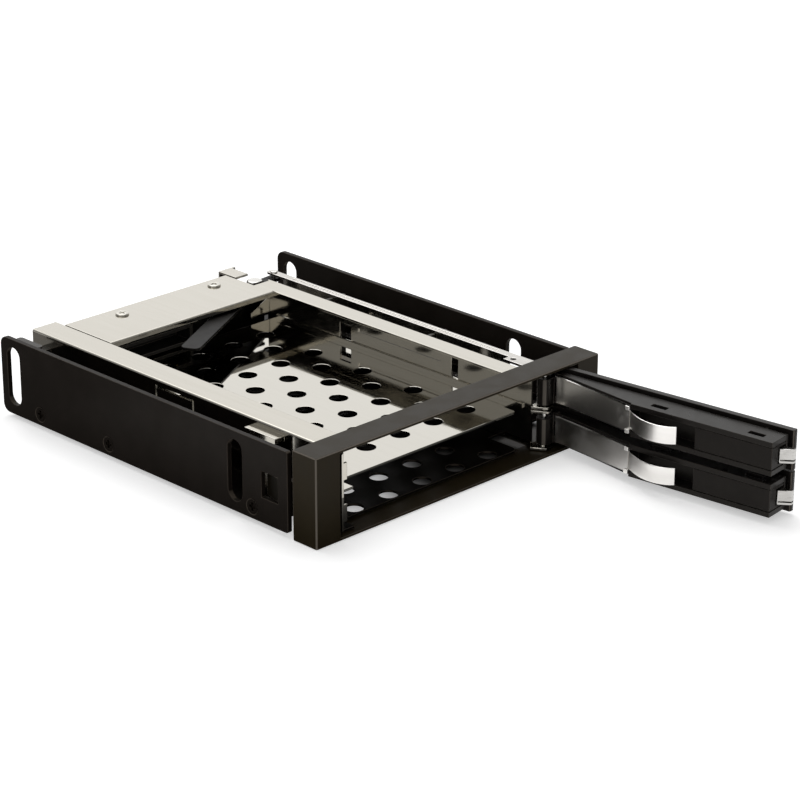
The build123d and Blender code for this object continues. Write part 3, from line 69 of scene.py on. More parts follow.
def toned(colour: Colour, share: float) -> Colour:
    """Colour made darker or brighter by a factor, kept within white."""
    return rgb(*(min(1.0, share * part) for part in colour[:3]))


WHITE = rgb(1.0, 1.0, 1.0)
WARM_GLOSS = rgb(1.0, 0.93, 0.83)

# Shares of a finish's own colour for painted shade inside the housing, and for darker faces: painted shade on
# front faces low behind the bezel, and darker walls of holes
INNER_SHADE_SHARE = 0.25
DARK_FACE_SHARE = 0.22


class Wiring:
    """Adds nodes to one shader tree and links them."""

    def __init__(self, tree: bpy.types.NodeTree) -> None:
        """Keep the tree to work on.

        Args:
            tree: Node tree of a material, world or node group.
        """
        self.tree = tree

    def node(self, kind: str, **settings: object) -> bpy.types.Node:
        """Add a node.

        Args:
            kind: Blender's type name of the node.
            **settings: Node properties to set.

        Returns:
            The new node.
        """
        made = self.tree.nodes.new(kind)
        for key, value in settings.items():
            setattr(made, key, value)
        return made

    def link(self, source: bpy.types.NodeSocket, target: bpy.types.NodeSocket) -> None:
        """Join an output to an input."""
        self.tree.links.new(source, target)

    def math(
        self, operation: str, first: object, second: object = None, clamp: bool = False
    ) -> bpy.types.NodeSocket:
        """Add a maths node over sockets or numbers.

        Args:
            operation: Blender's name of the operation.
            first: Socket or number for the first input.
            second: Socket or number for the second input.
            clamp: Whether the result stays between 0 and 1.

        Returns:
            The result socket.
        """
        made = self.node("ShaderNodeMath", operation=operation, use_clamp=clamp)
        for index, value in enumerate((first, second)):
            if value is None:
                continue
            if isinstance(value, (int, float)):
                made.inputs[index].default_value = value
            else:
                self.link(value, made.inputs[index])
        return made.outputs[0]

    def ramp(
        self, source: bpy.types.NodeSocket, low: float, high: float, start: float = 0.0, end: float = 1.0
    ) -> bpy.types.NodeSocket:
        """Rescale a value smoothly from one range to another.

        Args:
            source: Socket with the value.
            low: Lower end of the source range.
            high: Upper end of the source range.
            start: Result at the lower end.
            end: Result at the upper end.

        Returns:
            The rescaled value.
        """
        made = self.node("ShaderNodeMapRange", interpolation_type="SMOOTHSTEP")
        self.link(source, made.inputs["Value"])
        made.inputs["From Min"].default_value = low
        made.inputs["From Max"].default_value = high
        made.inputs["To Min"].default_value = start
        made.inputs["To Max"].default_value = end
        return made.outputs["Result"]

    def blend(self, factor: bpy.types.NodeSocket, first: object, second: object) -> bpy.types.NodeSocket:
        """Mix two colours, each a socket or a constant.

        Args:
            factor: Share of the second colour.
            first: Socket or colour.
            second: Socket or colour.

        Returns:
            The mixed colour.
        """
        made = self.node("ShaderNodeMix", data_type="RGBA")
        self.link(factor, made.inputs["Factor"])
        for name, value in (("A", first), ("B", second)):
            socket = next(s for s in made.inputs if s.name == name and s.type == "RGBA")
            if isinstance(value, tuple):
                socket.default_value = value
            else:
                self.link(value, socket)
        return next(s for s in made.outputs if s.type == "RGBA")

    def parts(self, vector: bpy.types.NodeSocket) -> bpy.types.Node:
        """Split a vector, and give the node with its X, Y and Z outputs."""
        made = self.node("ShaderNodeSeparateXYZ")
        self.link(vector, made.inputs[0])
        return made

    def noise(self, detail: float, place: bpy.types.NodeSocket, scale: object) -> bpy.types.Node:
        """Add a noise texture.

        Args:
            detail: Octaves of detail.
            place: Socket with the position.
            scale: Socket or number with the scale.

        Returns:
            The texture node.
        """
        made = self.node("ShaderNodeTexNoise")
        made.inputs["Detail"].default_value = detail
        self.link(place, made.inputs["Vector"])
        if isinstance(scale, float):
            made.inputs["Scale"].default_value = scale
        else:
            self.link(scale, made.inputs["Scale"])
        return made

    def mirrored(self, path: bpy.types.Node) -> bpy.types.NodeSocket:
        """Whether a light path comes from gloss or glass."""
        return self.math("MAXIMUM", path.outputs["Is Glossy Ray"], path.outputs["Is Transmission Ray"])


class Effects:
    """Node groups that several finishes share."""

    # Ranges over which each mask rises, in the units of its source
    EDGE_TURN = (0.01, 0.20)
    WORN_PATCH = (0.32, 0.52)
    FRONT_FACING = (0.80, 0.95)
    LEVEL_FACING = (0.30, 0.60)
    GRAIN_TONE = (0.30, 0.70)
    LINE_TONE = (0.35, 0.65)
    SMUDGE = (0.45, 0.70)
    SMUDGE_SWIRL = 0.4

    _made: dict[str, bpy.types.NodeTree] = {}

    @classmethod
    def get(cls, name: str) -> bpy.types.NodeTree:
        """Give a group, built on first use.

        Args:
            name: Name of the effect.

        Returns:
            The node group.
        """
        if name not in cls._made:
            builder: dict[str, Callable[[], bpy.types.NodeTree]] = {
                "EdgeWear": cls._edge_wear,
                "Grain": cls._grain,
                "Brushing": cls._brushing,
                "Smudges": cls._smudges,
                "EdgeLine": cls._edge_line,
                "FrontShade": cls._front_cut,
                "SheetCut": cls._sheet_cut,
                "Inside": cls._inner_shade,
            }
            cls._made[name] = builder[name]()
        return cls._made[name]

    @staticmethod
    def _group(
        name: str, inputs: Sequence[tuple[str, float]], outputs: Sequence[str]
    ) -> tuple[bpy.types.NodeTree, Wiring, bpy.types.Node, bpy.types.Node]:
        """Start an empty group with float sockets.

        Args:
            name: Name of the group.
            inputs: Names and default values of the inputs.
            outputs: Names of the outputs.

        Returns:
            The tree, its wiring, and its input and output nodes.
        """
        tree = bpy.data.node_groups.new(name, "ShaderNodeTree")
        for socket, value in inputs:
            made = tree.interface.new_socket(name=socket, in_out="INPUT", socket_type="NodeSocketFloat")
            made.default_value = value
        for socket in outputs:
            tree.interface.new_socket(name=socket, in_out="OUTPUT", socket_type="NodeSocketFloat")
        wiring = Wiring(tree)
        return tree, wiring, wiring.node("NodeGroupInput"), wiring.node("NodeGroupOutput")

    @classmethod
    def _edge_wear(cls) -> bpy.types.NodeTree:
        """Mask of rubbed edges, broken up by noise."""
        inputs = (("Width", 0.3 * MM), ("Patch Scale", 400.0), ("Amount", 0.5))
        tree, w, given, out = cls._group("EdgeWear", inputs, ("Mask",))
        rounded = w.node("ShaderNodeBevel", samples=4)
        w.link(given.outputs["Width"], rounded.inputs["Radius"])
        flat = w.node("ShaderNodeNewGeometry")
        dot = w.node("ShaderNodeVectorMath", operation="DOT_PRODUCT")
        w.link(rounded.outputs["Normal"], dot.inputs[0])
        w.link(flat.outputs["Normal"], dot.inputs[1])
        edge = w.ramp(w.math("SUBTRACT", 1.0, dot.outputs["Value"]), *cls.EDGE_TURN)
        coord = w.node("ShaderNodeTexCoord")
        noise = w.noise(4.0, coord.outputs["Object"], given.outputs["Patch Scale"])
        patch = w.ramp(noise.outputs["Fac"], *cls.WORN_PATCH)
        rubbed = w.math("MULTIPLY", edge, patch)
        w.link(w.math("MULTIPLY", rubbed, given.outputs["Amount"], clamp=True), out.inputs["Mask"])
        return tree

    @staticmethod
    def _directions(w: Wiring) -> tuple[bpy.types.NodeSocket, dict[str, bpy.types.NodeSocket]]:
        """Sizes of the three parts of the surface direction, as the piece was modelled.

        Args:
            w: Wiring of the group.

        Returns:
            The coordinate node's object output and the sizes by axis.
        """
        coord = w.node("ShaderNodeTexCoord")
        apart = w.parts(coord.outputs["Normal"])
        sizes = {axis: w.math("ABSOLUTE", apart.outputs[axis]) for axis in "XYZ"}
        return coord.outputs["Object"], sizes

    @classmethod
    def _edge_line(cls) -> bpy.types.NodeTree:
        """Mask of the faces that lie between two main directions, which are the rounded edges; paint and
        plastic get a painted highlight there, plated steel painted shade.
        """
        inputs = (("Amount", 1.0), ("Start", 0.22), ("Full", 0.46))
        tree, w, given, out = cls._group("EdgeLine", inputs, ("Mask",))
        _, part = cls._directions(w)
        pairs = [w.math("MULTIPLY", part[a], part[b]) for a, b in ("XY", "YZ", "XZ")]
        most = w.math("MAXIMUM", w.math("MAXIMUM", pairs[0], pairs[1]), pairs[2])
        made = w.node("ShaderNodeMapRange", interpolation_type="SMOOTHSTEP")
        w.link(most, made.inputs["Value"])
        w.link(given.outputs["Start"], made.inputs["From Min"])
        w.link(given.outputs["Full"], made.inputs["From Max"])
        line = w.math("MULTIPLY", made.outputs["Result"], given.outputs["Amount"], clamp=True)
        w.link(line, out.inputs["Mask"])
        return tree

    @classmethod
    def _front_cut(cls) -> bpy.types.NodeTree:
        """Mask of sheet faces that face the front, low behind the bezel, where shade is painted."""
        tree, w, given, out = cls._group("FrontShade", (("Depth", 12.0 * MM), ("Level", 10.8 * MM)), ("Mask",))
        place, part = cls._directions(w)
        apart = w.parts(place)
        close = w.math("LESS_THAN", apart.outputs["Y"], given.outputs["Depth"])
        low = w.math("LESS_THAN", apart.outputs["Z"], given.outputs["Level"])
        facing = w.ramp(part["Y"], *cls.FRONT_FACING)
        w.link(w.math("MULTIPLY", facing, w.math("MULTIPLY", close, low)), out.inputs["Mask"])
        return tree

    @classmethod
    def _sheet_cut(cls) -> bpy.types.NodeTree:
        """Mask of upright cut faces of a level sheet, such as the walls of its holes."""
        tree, w, given, out = cls._group("SheetCut", (("Amount", 1.0),), ("Mask",))
        _, part = cls._directions(w)
        upright = w.ramp(part["Z"], *cls.LEVEL_FACING, 1.0, 0.0)
        w.link(w.math("MULTIPLY", upright, given.outputs["Amount"]), out.inputs["Mask"])
        return tree

    @classmethod
    def _inner_shade(cls) -> bpy.types.NodeTree:
        """Mask of the faces within a half width of the middle and behind a depth, where shade is painted
        inside the housing.
        """
        tree, w, given, out = cls._group("Inside", (("Half Width", 49.0 * MM), ("Depth", 0.0)), ("Mask",))
        coord = w.node("ShaderNodeTexCoord")
        apart = w.parts(coord.outputs["Object"])
        across = w.math("ABSOLUTE", apart.outputs["X"])
        within = w.math("LESS_THAN", across, given.outputs["Half Width"])
        behind = w.math("GREATER_THAN", apart.outputs["Y"], given.outputs["Depth"])
        w.link(w.math("MULTIPLY", within, behind), out.inputs["Mask"])
        return tree

    @classmethod
    def _grain(cls) -> bpy.types.NodeTree:
        """Fine moulded or sprayed grain."""
        inputs = (("Scale", 4000.0), ("Coarse Scale", 300.0))
        tree, w, given, out = cls._group("Grain", inputs, ("Height", "Tone"))
        coord = w.node("ShaderNodeTexCoord")
        fine = w.noise(3.0, coord.outputs["Object"], given.outputs["Scale"])
        coarse = w.noise(5.0, coord.outputs["Object"], given.outputs["Coarse Scale"])
        w.link(fine.outputs["Fac"], out.inputs["Height"])
        w.link(w.ramp(coarse.outputs["Fac"], *cls.GRAIN_TONE), out.inputs["Tone"])
        return tree

    @classmethod
    def _brushing(cls) -> bpy.types.NodeTree:
        """Long fine lines left by rolling or brushing."""
        inputs = (("Along X", 40.0), ("Along Y", 40.0), ("Along Z", 1500.0))
        tree, w, given, out = cls._group("Brushing", inputs, ("Height", "Tone"))
        coord = w.node("ShaderNodeTexCoord")
        stretch = w.node("ShaderNodeCombineXYZ")
        for axis in "XYZ":
            w.link(given.outputs[f"Along {axis}"], stretch.inputs[axis])
        scaled = w.node("ShaderNodeVectorMath", operation="MULTIPLY")
        w.link(coord.outputs["Object"], scaled.inputs[0])
        w.link(stretch.outputs["Vector"], scaled.inputs[1])
        noise = w.noise(4.0, scaled.outputs["Vector"], 1.0)
        w.link(noise.outputs["Fac"], out.inputs["Height"])
        w.link(w.ramp(noise.outputs["Fac"], *cls.LINE_TONE), out.inputs["Tone"])
        return tree

    @classmethod
    def _smudges(cls) -> bpy.types.NodeTree:
        """Soft handling marks that change the gloss."""
        tree, w, given, out = cls._group("Smudges", (("Scale", 60.0), ("Amount", 1.0)), ("Mask",))
        coord = w.node("ShaderNodeTexCoord")
        noise = w.noise(5.0, coord.outputs["Object"], given.outputs["Scale"])
        noise.inputs["Distortion"].default_value = cls.SMUDGE_SWIRL
        mark = w.ramp(noise.outputs["Fac"], *cls.SMUDGE)
        w.link(w.math("MULTIPLY", mark, given.outputs["Amount"], clamp=True), out.inputs["Mask"])
        return tree


class Shader:
    """One material under construction, with a Principled shader."""

    WEAR_SHARE = 0.6

    def __init__(self, name: str) -> None:
        """Start a material.

        Args:
            name: Name of the material.
        """
        self.material = bpy.data.materials.new(name)
        self.material.use_nodes = True
        self.wiring = Wiring(self.material.node_tree)
        self.body = self.material.node_tree.nodes["Principled BSDF"]

    def set(self, **values: object) -> None:
        """Set constant sockets, with underscores for spaces in their names."""
        for key, value in values.items():
            self.body.inputs[key.replace("_", " ")].default_value = value

    def effect(self, name: str, **values: float) -> bpy.types.Node:
        """Place a shared effect.

        Args:
            name: Name of the effect.
            **values: Input values, with underscores for spaces.

        Returns:
            The group node.
        """
        made = self.wiring.node("ShaderNodeGroup", node_tree=Effects.get(name))
        for key, value in values.items():
            made.inputs[key.replace("_", " ")].default_value = value
        return made

    def bump(self, height: bpy.types.NodeSocket, distance: float, strength: float) -> None:
        """Raise the surface by a height socket.

        Args:
            height: Height from 0 to 1.
            distance: Real height in metres.
            strength: Strength of the effect.
        """
        made = self.wiring.node("ShaderNodeBump")
        made.inputs["Distance"].default_value = distance
        made.inputs["Strength"].default_value = strength
        self.wiring.link(height, made.inputs["Height"])
        self.wiring.link(made.outputs["Normal"], self.body.inputs["Normal"])

    def coat(
        self, tone: bpy.types.NodeSocket, worn_and_highlight: Colour, wear: bpy.types.Node, line: bpy.types.Node
    ) -> None:
        """Colour the surface, with the ground showing on rubbed edges and a painted highlight in the ground's
        colour on rounded edges.

        Args:
            tone: Colour of the coat.
            worn_and_highlight: Colour of the ground on rubbed edges, also painted as a highlight on rounded
                edges.
            wear: Effect that masks the rubbed edges.
            line: Effect that masks the rounded edges that get the painted highlight.
        """
        w = self.wiring
        rubbed = w.math("MULTIPLY", wear.outputs["Mask"], self.WEAR_SHARE)
        # Rubbed edges show the ground as wear; rounded edges get the same colour as a painted highlight
        recoloured = w.math("MAXIMUM", rubbed, line.outputs["Mask"])
        w.link(w.blend(recoloured, tone, worn_and_highlight), self.body.inputs["Base Color"])

    def paint_inner_shade(self, tone: bpy.types.NodeSocket, colour: Colour, **limits: float) -> bpy.types.NodeSocket:
        """Paint shade on the coat inside the housing.

        Args:
            tone: Colour of the coat.
            colour: Plain colour that the painted shade is taken from.
            **limits: Half_Width and Depth of the painted shade region, in metres.

        Returns:
            The colour with painted shade.
        """
        shade_region = self.effect("Inside", **limits)
        return self.wiring.blend(shade_region.outputs["Mask"], tone, toned(colour, INNER_SHADE_SHARE))


@dataclass(frozen=True)
class PaintedSheet:
    """Satin powder coat on sheet steel, with painted shade inside the housing and a painted highlight on
    rounded edges.
    """

    name: str
    colour: Colour
    pale: Colour
    # Ground colour of rubbed edges, also painted as a highlight on rounded edges
    worn_and_highlight: Colour = rgb(0.150, 0.125, 0.100)
    roughness: float = 0.42
    line: float = 0.9
    line_from: float = 0.22
    specular: float = 0.25
    grain: float = 2600.0
    coarse: float = 140.0
    relief: float = 0.03 * MM
    raise_by: float = 0.35
    spread: float = 0.08
    smears: float = 45.0
    wear: float = 0.8
    rub_width: float = 0.25 * MM
    rub_patches: float = 500.0
    # Painted shade inside this half width of the middle
    shade_half_width: float = 49.2 * MM

    def make(self) -> bpy.types.Material:
        """Build the material."""
        shader = Shader(self.name)
        w = shader.wiring
        grain = shader.effect("Grain", Scale=self.grain, Coarse_Scale=self.coarse)
        wear = shader.effect(
            "EdgeWear", Width=self.rub_width, Patch_Scale=self.rub_patches, Amount=self.wear
        )
        smudge = shader.effect("Smudges", Scale=self.smears, Amount=1.0)
        line = shader.effect("EdgeLine", Amount=self.line, Start=self.line_from)
        tone = w.blend(grain.outputs["Tone"], self.colour, self.pale)
        # Painted shade inside the housing, then the coat with its painted highlight on rounded edges
        shader.coat(shader.paint_inner_shade(tone, self.colour, Half_Width=self.shade_half_width), self.worn_and_highlight, wear, line)
        rough = w.ramp(smudge.outputs["Mask"], 0.0, 1.0, self.roughness, self.roughness + self.spread)
        w.link(rough, shader.body.inputs["Roughness"])
        shader.set(Specular_IOR_Level=self.specular, Specular_Tint=WARM_GLOSS)
        shader.bump(grain.outputs["Height"], self.relief, self.raise_by)
        return shader.material


@dataclass(frozen=True)
class MouldedPlastic:
    """Fine grained moulded plastic, with a painted highlight on rounded edges, and painted shade behind a
    depth when one is given.
    """

    name: str
    colour: Colour
    pale: Colour
    # Ground colour of rubbed edges, also painted as a highlight on rounded edges
    worn_and_highlight: Colour = rgb(0.170, 0.150, 0.128)
    roughness: float = 0.45
    line: float = 0.9
    line_from: float = 0.22
    specular: float = 0.3
    grain: float = 3500.0
    coarse: float = 160.0
    relief: float = 0.03 * MM
    raise_by: float = 0.35
    gloss_change: tuple[float, float] = (-0.03, 0.05)
    wear: float = 0.8
    rub_width: float = 0.2 * MM
    rub_patches: float = 700.0
    depth: Optional[float] = None

    def make(self) -> bpy.types.Material:
        """Build the material."""
        shader = Shader(self.name)
        w = shader.wiring
        grain = shader.effect("Grain", Scale=self.grain, Coarse_Scale=self.coarse)
        wear = shader.effect(
            "EdgeWear", Width=self.rub_width, Patch_Scale=self.rub_patches, Amount=self.wear
        )
        line = shader.effect("EdgeLine", Amount=self.line, Start=self.line_from)
        tone = w.blend(grain.outputs["Tone"], self.colour, self.pale)
        # Painted shade on the parts behind the given depth, inside the housing
        if self.depth is not None:
            tone = shader.paint_inner_shade(tone, self.colour, Half_Width=1.0, Depth=self.depth)
        shader.coat(tone, self.worn_and_highlight, wear, line)
        low, high = (self.roughness + change for change in self.gloss_change)
        w.link(w.ramp(grain.outputs["Tone"], 0.0, 1.0, low, high), shader.body.inputs["Roughness"])
        shader.set(Specular_IOR_Level=self.specular, Specular_Tint=WARM_GLOSS)
        shader.bump(grain.outputs["Height"], self.relief, self.raise_by)
        return shader.material


@dataclass(frozen=True)
class PlatedSteel:
    """Bright plated sheet steel with rolling lines, handling marks and brighter rubbed edges; with an edge
    factor below one, painted shade on rubbed and rounded edges, and darker faces where a mask is chosen.
    """

    name: str
    colour: Colour
    dull: Colour
    roughness: float = 0.16
    spread: float = 0.10
    along: Point3 = (900.0, 25.0, 900.0)
    relief: float = 0.004 * MM
    raise_by: float = 0.3
    marks: float = 0.8
    smears: float = 70.0
    wear: float = 0.5
    rub_width: float = 0.2 * MM
    rub_patches: float = 900.0
    rim: float = 1.2
    rim_line: tuple[float, float] = (0.10, 0.30)
    grazing: float = 1.0
    cut: str = ""

    def make(self) -> bpy.types.Material:
        """Build the material."""
        shader = Shader(self.name)
        w = shader.wiring
        stretch = {f"Along_{axis}": scale for axis, scale in zip("XYZ", self.along)}
        lines = shader.effect("Brushing", **stretch)
        smudge = shader.effect("Smudges", Scale=self.smears, Amount=self.marks)
        wear = shader.effect(
            "EdgeWear", Width=self.rub_width, Patch_Scale=self.rub_patches, Amount=self.wear
        )
        tone = w.blend(lines.outputs["Tone"], self.dull, self.colour)
        edge = wear.outputs["Mask"]
        # An edge factor below one paints shade on the rubbed and rounded edges, toning down their highlights;
        # above one the rubbed edges are brighter wear
        if self.rim < 1.0:
            start, full = self.rim_line
            line = shader.effect("EdgeLine", Amount=1.0, Start=start, Full=full)
            edge = w.math("MAXIMUM", edge, line.outputs["Mask"])
        surface = w.blend(edge, tone, toned(self.colour, self.rim))
        # Darker faces from the chosen mask: the front mask paints shade on front faces low behind the bezel;
        # the sheet mask darkens the walls of holes
        if self.cut:
            recoloured = toned(self.colour, DARK_FACE_SHARE)
            surface = w.blend(shader.effect(self.cut).outputs["Mask"], surface, recoloured)
        w.link(surface, shader.body.inputs["Base Color"])
        rough = w.ramp(smudge.outputs["Mask"], 0.0, 1.0, self.roughness, self.roughness + self.spread)
        w.link(rough, shader.body.inputs["Roughness"])
        shader.set(Metallic=1.0, Specular_Tint=rgb(self.grazing, self.grazing, self.grazing))
        shader.bump(lines.outputs["Height"], self.relief, self.raise_by)
        return shader.material


@dataclass(frozen=True)
class BoardLaminate:
    """Green circuit board with faint copper lands under the mask."""

    name: str = "circuit_board"
    colour: Colour = rgb(0.010, 0.065, 0.030)
    pale: Colour = rgb(0.016, 0.095, 0.045)
    land: Colour = rgb(0.030, 0.160, 0.075)
    gloss: tuple[float, float] = (0.28, 0.40)
    lands: float = 420.0
    gap: float = 0.06
    grain: float = 5000.0
    coarse: float = 220.0
    relief: float = 0.04 * MM
    raise_by: float = 0.5

    def make(self) -> bpy.types.Material:
        """Build the material."""
        shader = Shader(self.name)
        w = shader.wiring
        coord = w.node("ShaderNodeTexCoord")
        bricks = w.node("ShaderNodeTexBrick")
        bricks.inputs["Scale"].default_value = self.lands
        bricks.inputs["Mortar Size"].default_value = self.gap
        w.link(coord.outputs["Object"], bricks.inputs["Vector"])
        grain = shader.effect("Grain", Scale=self.grain, Coarse_Scale=self.coarse)
        ground = w.blend(grain.outputs["Tone"], self.colour, self.pale)
        surface = w.blend(bricks.outputs["Fac"], ground, self.land)
        w.link(surface, shader.body.inputs["Base Color"])
        rough = w.ramp(grain.outputs["Tone"], 0.0, 1.0, *self.gloss)
        w.link(rough, shader.body.inputs["Roughness"])
        shader.bump(bricks.outputs["Fac"], self.relief, self.raise_by)
        return shader.material


class Slot(Enum):
    """Material slots of the record."""

    BEZEL = "bezel_plastic"
    PLATE = "dark_plate"
    DARK_SCREW = "dark_screw"
    SHEET = "plated_sheet"
    MIRROR = "mirror_sheet"
    BRIGHT_SCREW = "bright_screw"
    BRASS = "brass_post"
    BOARD = "circuit_board"
    COMPONENT = "dark_component"
    CONNECTOR = "connector_plastic"
    GOLD = "contact_gold"
    PIN = "bright_pin"
    GUIDE = "guide_plastic"
    DOOR = "door_plastic"
    INSERT = "insert_plastic"
    LATCH = "latch_steel"
    SPRING = "spring_wire"
    SLIDER = "slider_plastic"
    LEAF = "spring_steel"
    LEVER = "lever_steel"
    BAR = "bar_steel"


@dataclass
class Finishes:
    """All finishes of the object, by slot."""

    made: dict[Slot, bpy.types.Material] = field(default_factory=dict)

    @staticmethod
    def dark() -> dict[Slot, object]:
        """Recipes of the painted and moulded pieces."""
        plastic = MouldedPlastic
        # Weaker painted highlight on the rounded edges of the doors
        door_highlight = {"line": 0.6, "line_from": 0.41}
        return {
            # Bezel: painted shade on its parts behind the front ring, inside the housing
            Slot.BEZEL: plastic(
                "bezel_plastic", rgb(0.0150, 0.0108, 0.0048), rgb(0.0185, 0.0136, 0.0064),
                roughness=0.36, specular=0.082, line=0.7, depth=8.7 * MM,
            ),
            Slot.PLATE: PaintedSheet(
                "dark_plate", rgb(0.0100, 0.0078, 0.0062), rgb(0.0125, 0.0098, 0.0080),
                roughness=0.38, specular=0.06, line=0.35,
            ),
            Slot.DARK_SCREW: PaintedSheet(
                "dark_screw", rgb(0.0070, 0.0052, 0.0040), rgb(0.0100, 0.0076, 0.0060),
                roughness=0.34, specular=0.06, wear=0.2, line=0.0,
            ),
            Slot.COMPONENT: plastic(
                "dark_component", rgb(0.010, 0.010, 0.011), rgb(0.018, 0.018, 0.019), roughness=0.40,
            ),
            Slot.CONNECTOR: plastic(
                "connector_plastic", rgb(0.009, 0.009, 0.009), rgb(0.015, 0.015, 0.015), roughness=0.45,
            ),
            Slot.GUIDE: plastic(
                "guide_plastic", rgb(0.010, 0.0095, 0.009), rgb(0.018, 0.017, 0.016), roughness=0.40,
            ),
            Slot.DOOR: plastic(
                "door_plastic", rgb(0.0060, 0.0050, 0.0045), rgb(0.0090, 0.0078, 0.0072),
                roughness=0.30, specular=0.15, **door_highlight,
            ),
            Slot.INSERT: plastic(
                "insert_plastic", rgb(0.0070, 0.0058, 0.0054), rgb(0.0105, 0.0090, 0.0082),
                roughness=0.40, specular=0.12, **door_highlight,
            ),
            Slot.SLIDER: plastic(
                "slider_plastic", rgb(0.011, 0.010, 0.0095), rgb(0.017, 0.0155, 0.0145), roughness=0.42,
            ),
        }

    @staticmethod
    def bright() -> dict[Slot, object]:
        """Recipes of the metal pieces and the circuit board."""
        steel = PlatedSteel
        return {
            # Rounded edges painted darker to tone down their highlights, and painted shade on front faces low
            # behind the bezel
            Slot.SHEET: steel(
                "plated_sheet", rgb(0.525, 0.500, 0.445), rgb(0.512, 0.487, 0.430),
                roughness=0.12, spread=0.06, relief=0.0015 * MM, rim=0.72, cut="FrontShade",
            ),
            # Rounded edges painted darker to tone down their highlights; the upright walls of its holes
            # darker
            Slot.MIRROR: steel(
                "mirror_sheet", rgb(0.535, 0.515, 0.465), rgb(0.527, 0.507, 0.457),
                roughness=0.04, spread=0.04, relief=0.001 * MM, rim=0.72, cut="SheetCut",
            ),
            Slot.BRIGHT_SCREW: steel(
                "bright_screw", rgb(0.56, 0.54, 0.49), rgb(0.50, 0.48, 0.43),
                roughness=0.22, along=(600.0, 600.0, 2500.0),
            ),
            Slot.BRASS: steel(
                "brass_post", rgb(0.76, 0.60, 0.30), rgb(0.60, 0.46, 0.22),
                roughness=0.25, along=(500.0, 2500.0, 500.0),
            ),
            Slot.BOARD: BoardLaminate(),
            Slot.GOLD: steel("contact_gold", rgb(0.86, 0.66, 0.28), rgb(0.72, 0.54, 0.22), roughness=0.20),
            Slot.PIN: steel(
                "bright_pin", rgb(0.66, 0.65, 0.62), rgb(0.60, 0.59, 0.56),
                roughness=0.14, along=(500.0, 500.0, 2500.0),
            ),
            Slot.LATCH: steel(
                "latch_steel", rgb(0.52, 0.51, 0.49), rgb(0.44, 0.43, 0.41),
                roughness=0.20, along=(400.0, 400.0, 1800.0),
            ),
            Slot.SPRING: steel("spring_wire", rgb(0.70, 0.69, 0.67), rgb(0.56, 0.55, 0.54), roughness=0.28),
            Slot.LEAF: steel(
                "spring_steel", rgb(0.84, 0.82, 0.79), rgb(0.76, 0.74, 0.71),
                roughness=0.28, spread=0.14, along=(40.0, 40.0, 260.0), relief=0.0003 * MM, marks=1.0,
            ),
            Slot.LEVER: steel(
                "lever_steel", rgb(0.020, 0.019, 0.018), rgb(0.013, 0.0122, 0.0116),
                roughness=0.34, along=(300.0, 300.0, 300.0), grazing=0.72,
            ),
            Slot.BAR: steel(
                "bar_steel", rgb(0.56, 0.54, 0.51), rgb(0.50, 0.48, 0.45), roughness=0.14, relief=0.0015 * MM,
            ),
        }

    def build(self) -> None:
        """Make one material for each slot."""
        recipes = {**self.dark(), **self.bright()}
        for slot in Slot:
            self.made[slot] = recipes[slot].make()
        LOG.info("finishes: %d", len(self.made))

    def of(self, slot: Slot) -> bpy.types.Material:
        """Give the material of a slot."""
        return self.made[slot]


def curve_smoothing(limit: float) -> bpy.types.NodeTree:
    """Make the modifier tree that shades curved faces as one.

    Args:
        limit: Angle in radians above which an edge stays sharp.

    Returns:
        The geometry tree.
    """
    tree = bpy.data.node_groups.new("smooth curves", "GeometryNodeTree")
    tree.interface.new_socket(name="Geometry", in_out="INPUT", socket_type="NodeSocketGeometry")
    tree.interface.new_socket(name="Geometry", in_out="OUTPUT", socket_type="NodeSocketGeometry")
    w = Wiring(tree)
    given = w.node("NodeGroupInput")
    out = w.node("NodeGroupOutput")
    faces = w.node("GeometryNodeSetShadeSmooth", domain="FACE")
    edges = w.node("GeometryNodeSetShadeSmooth", domain="EDGE")
    edges.inputs["Shade Smooth"].default_value = False
    w.link(given.outputs["Geometry"], faces.inputs["Geometry"])
    w.link(faces.outputs["Geometry"], edges.inputs["Geometry"])
    angle = w.node("GeometryNodeInputMeshEdgeAngle")
    w.link(w.math("GREATER_THAN", angle.outputs["Unsigned Angle"], limit), edges.inputs["Selection"])
    w.link(edges.outputs["Geometry"], out.inputs["Geometry"])
    return tree


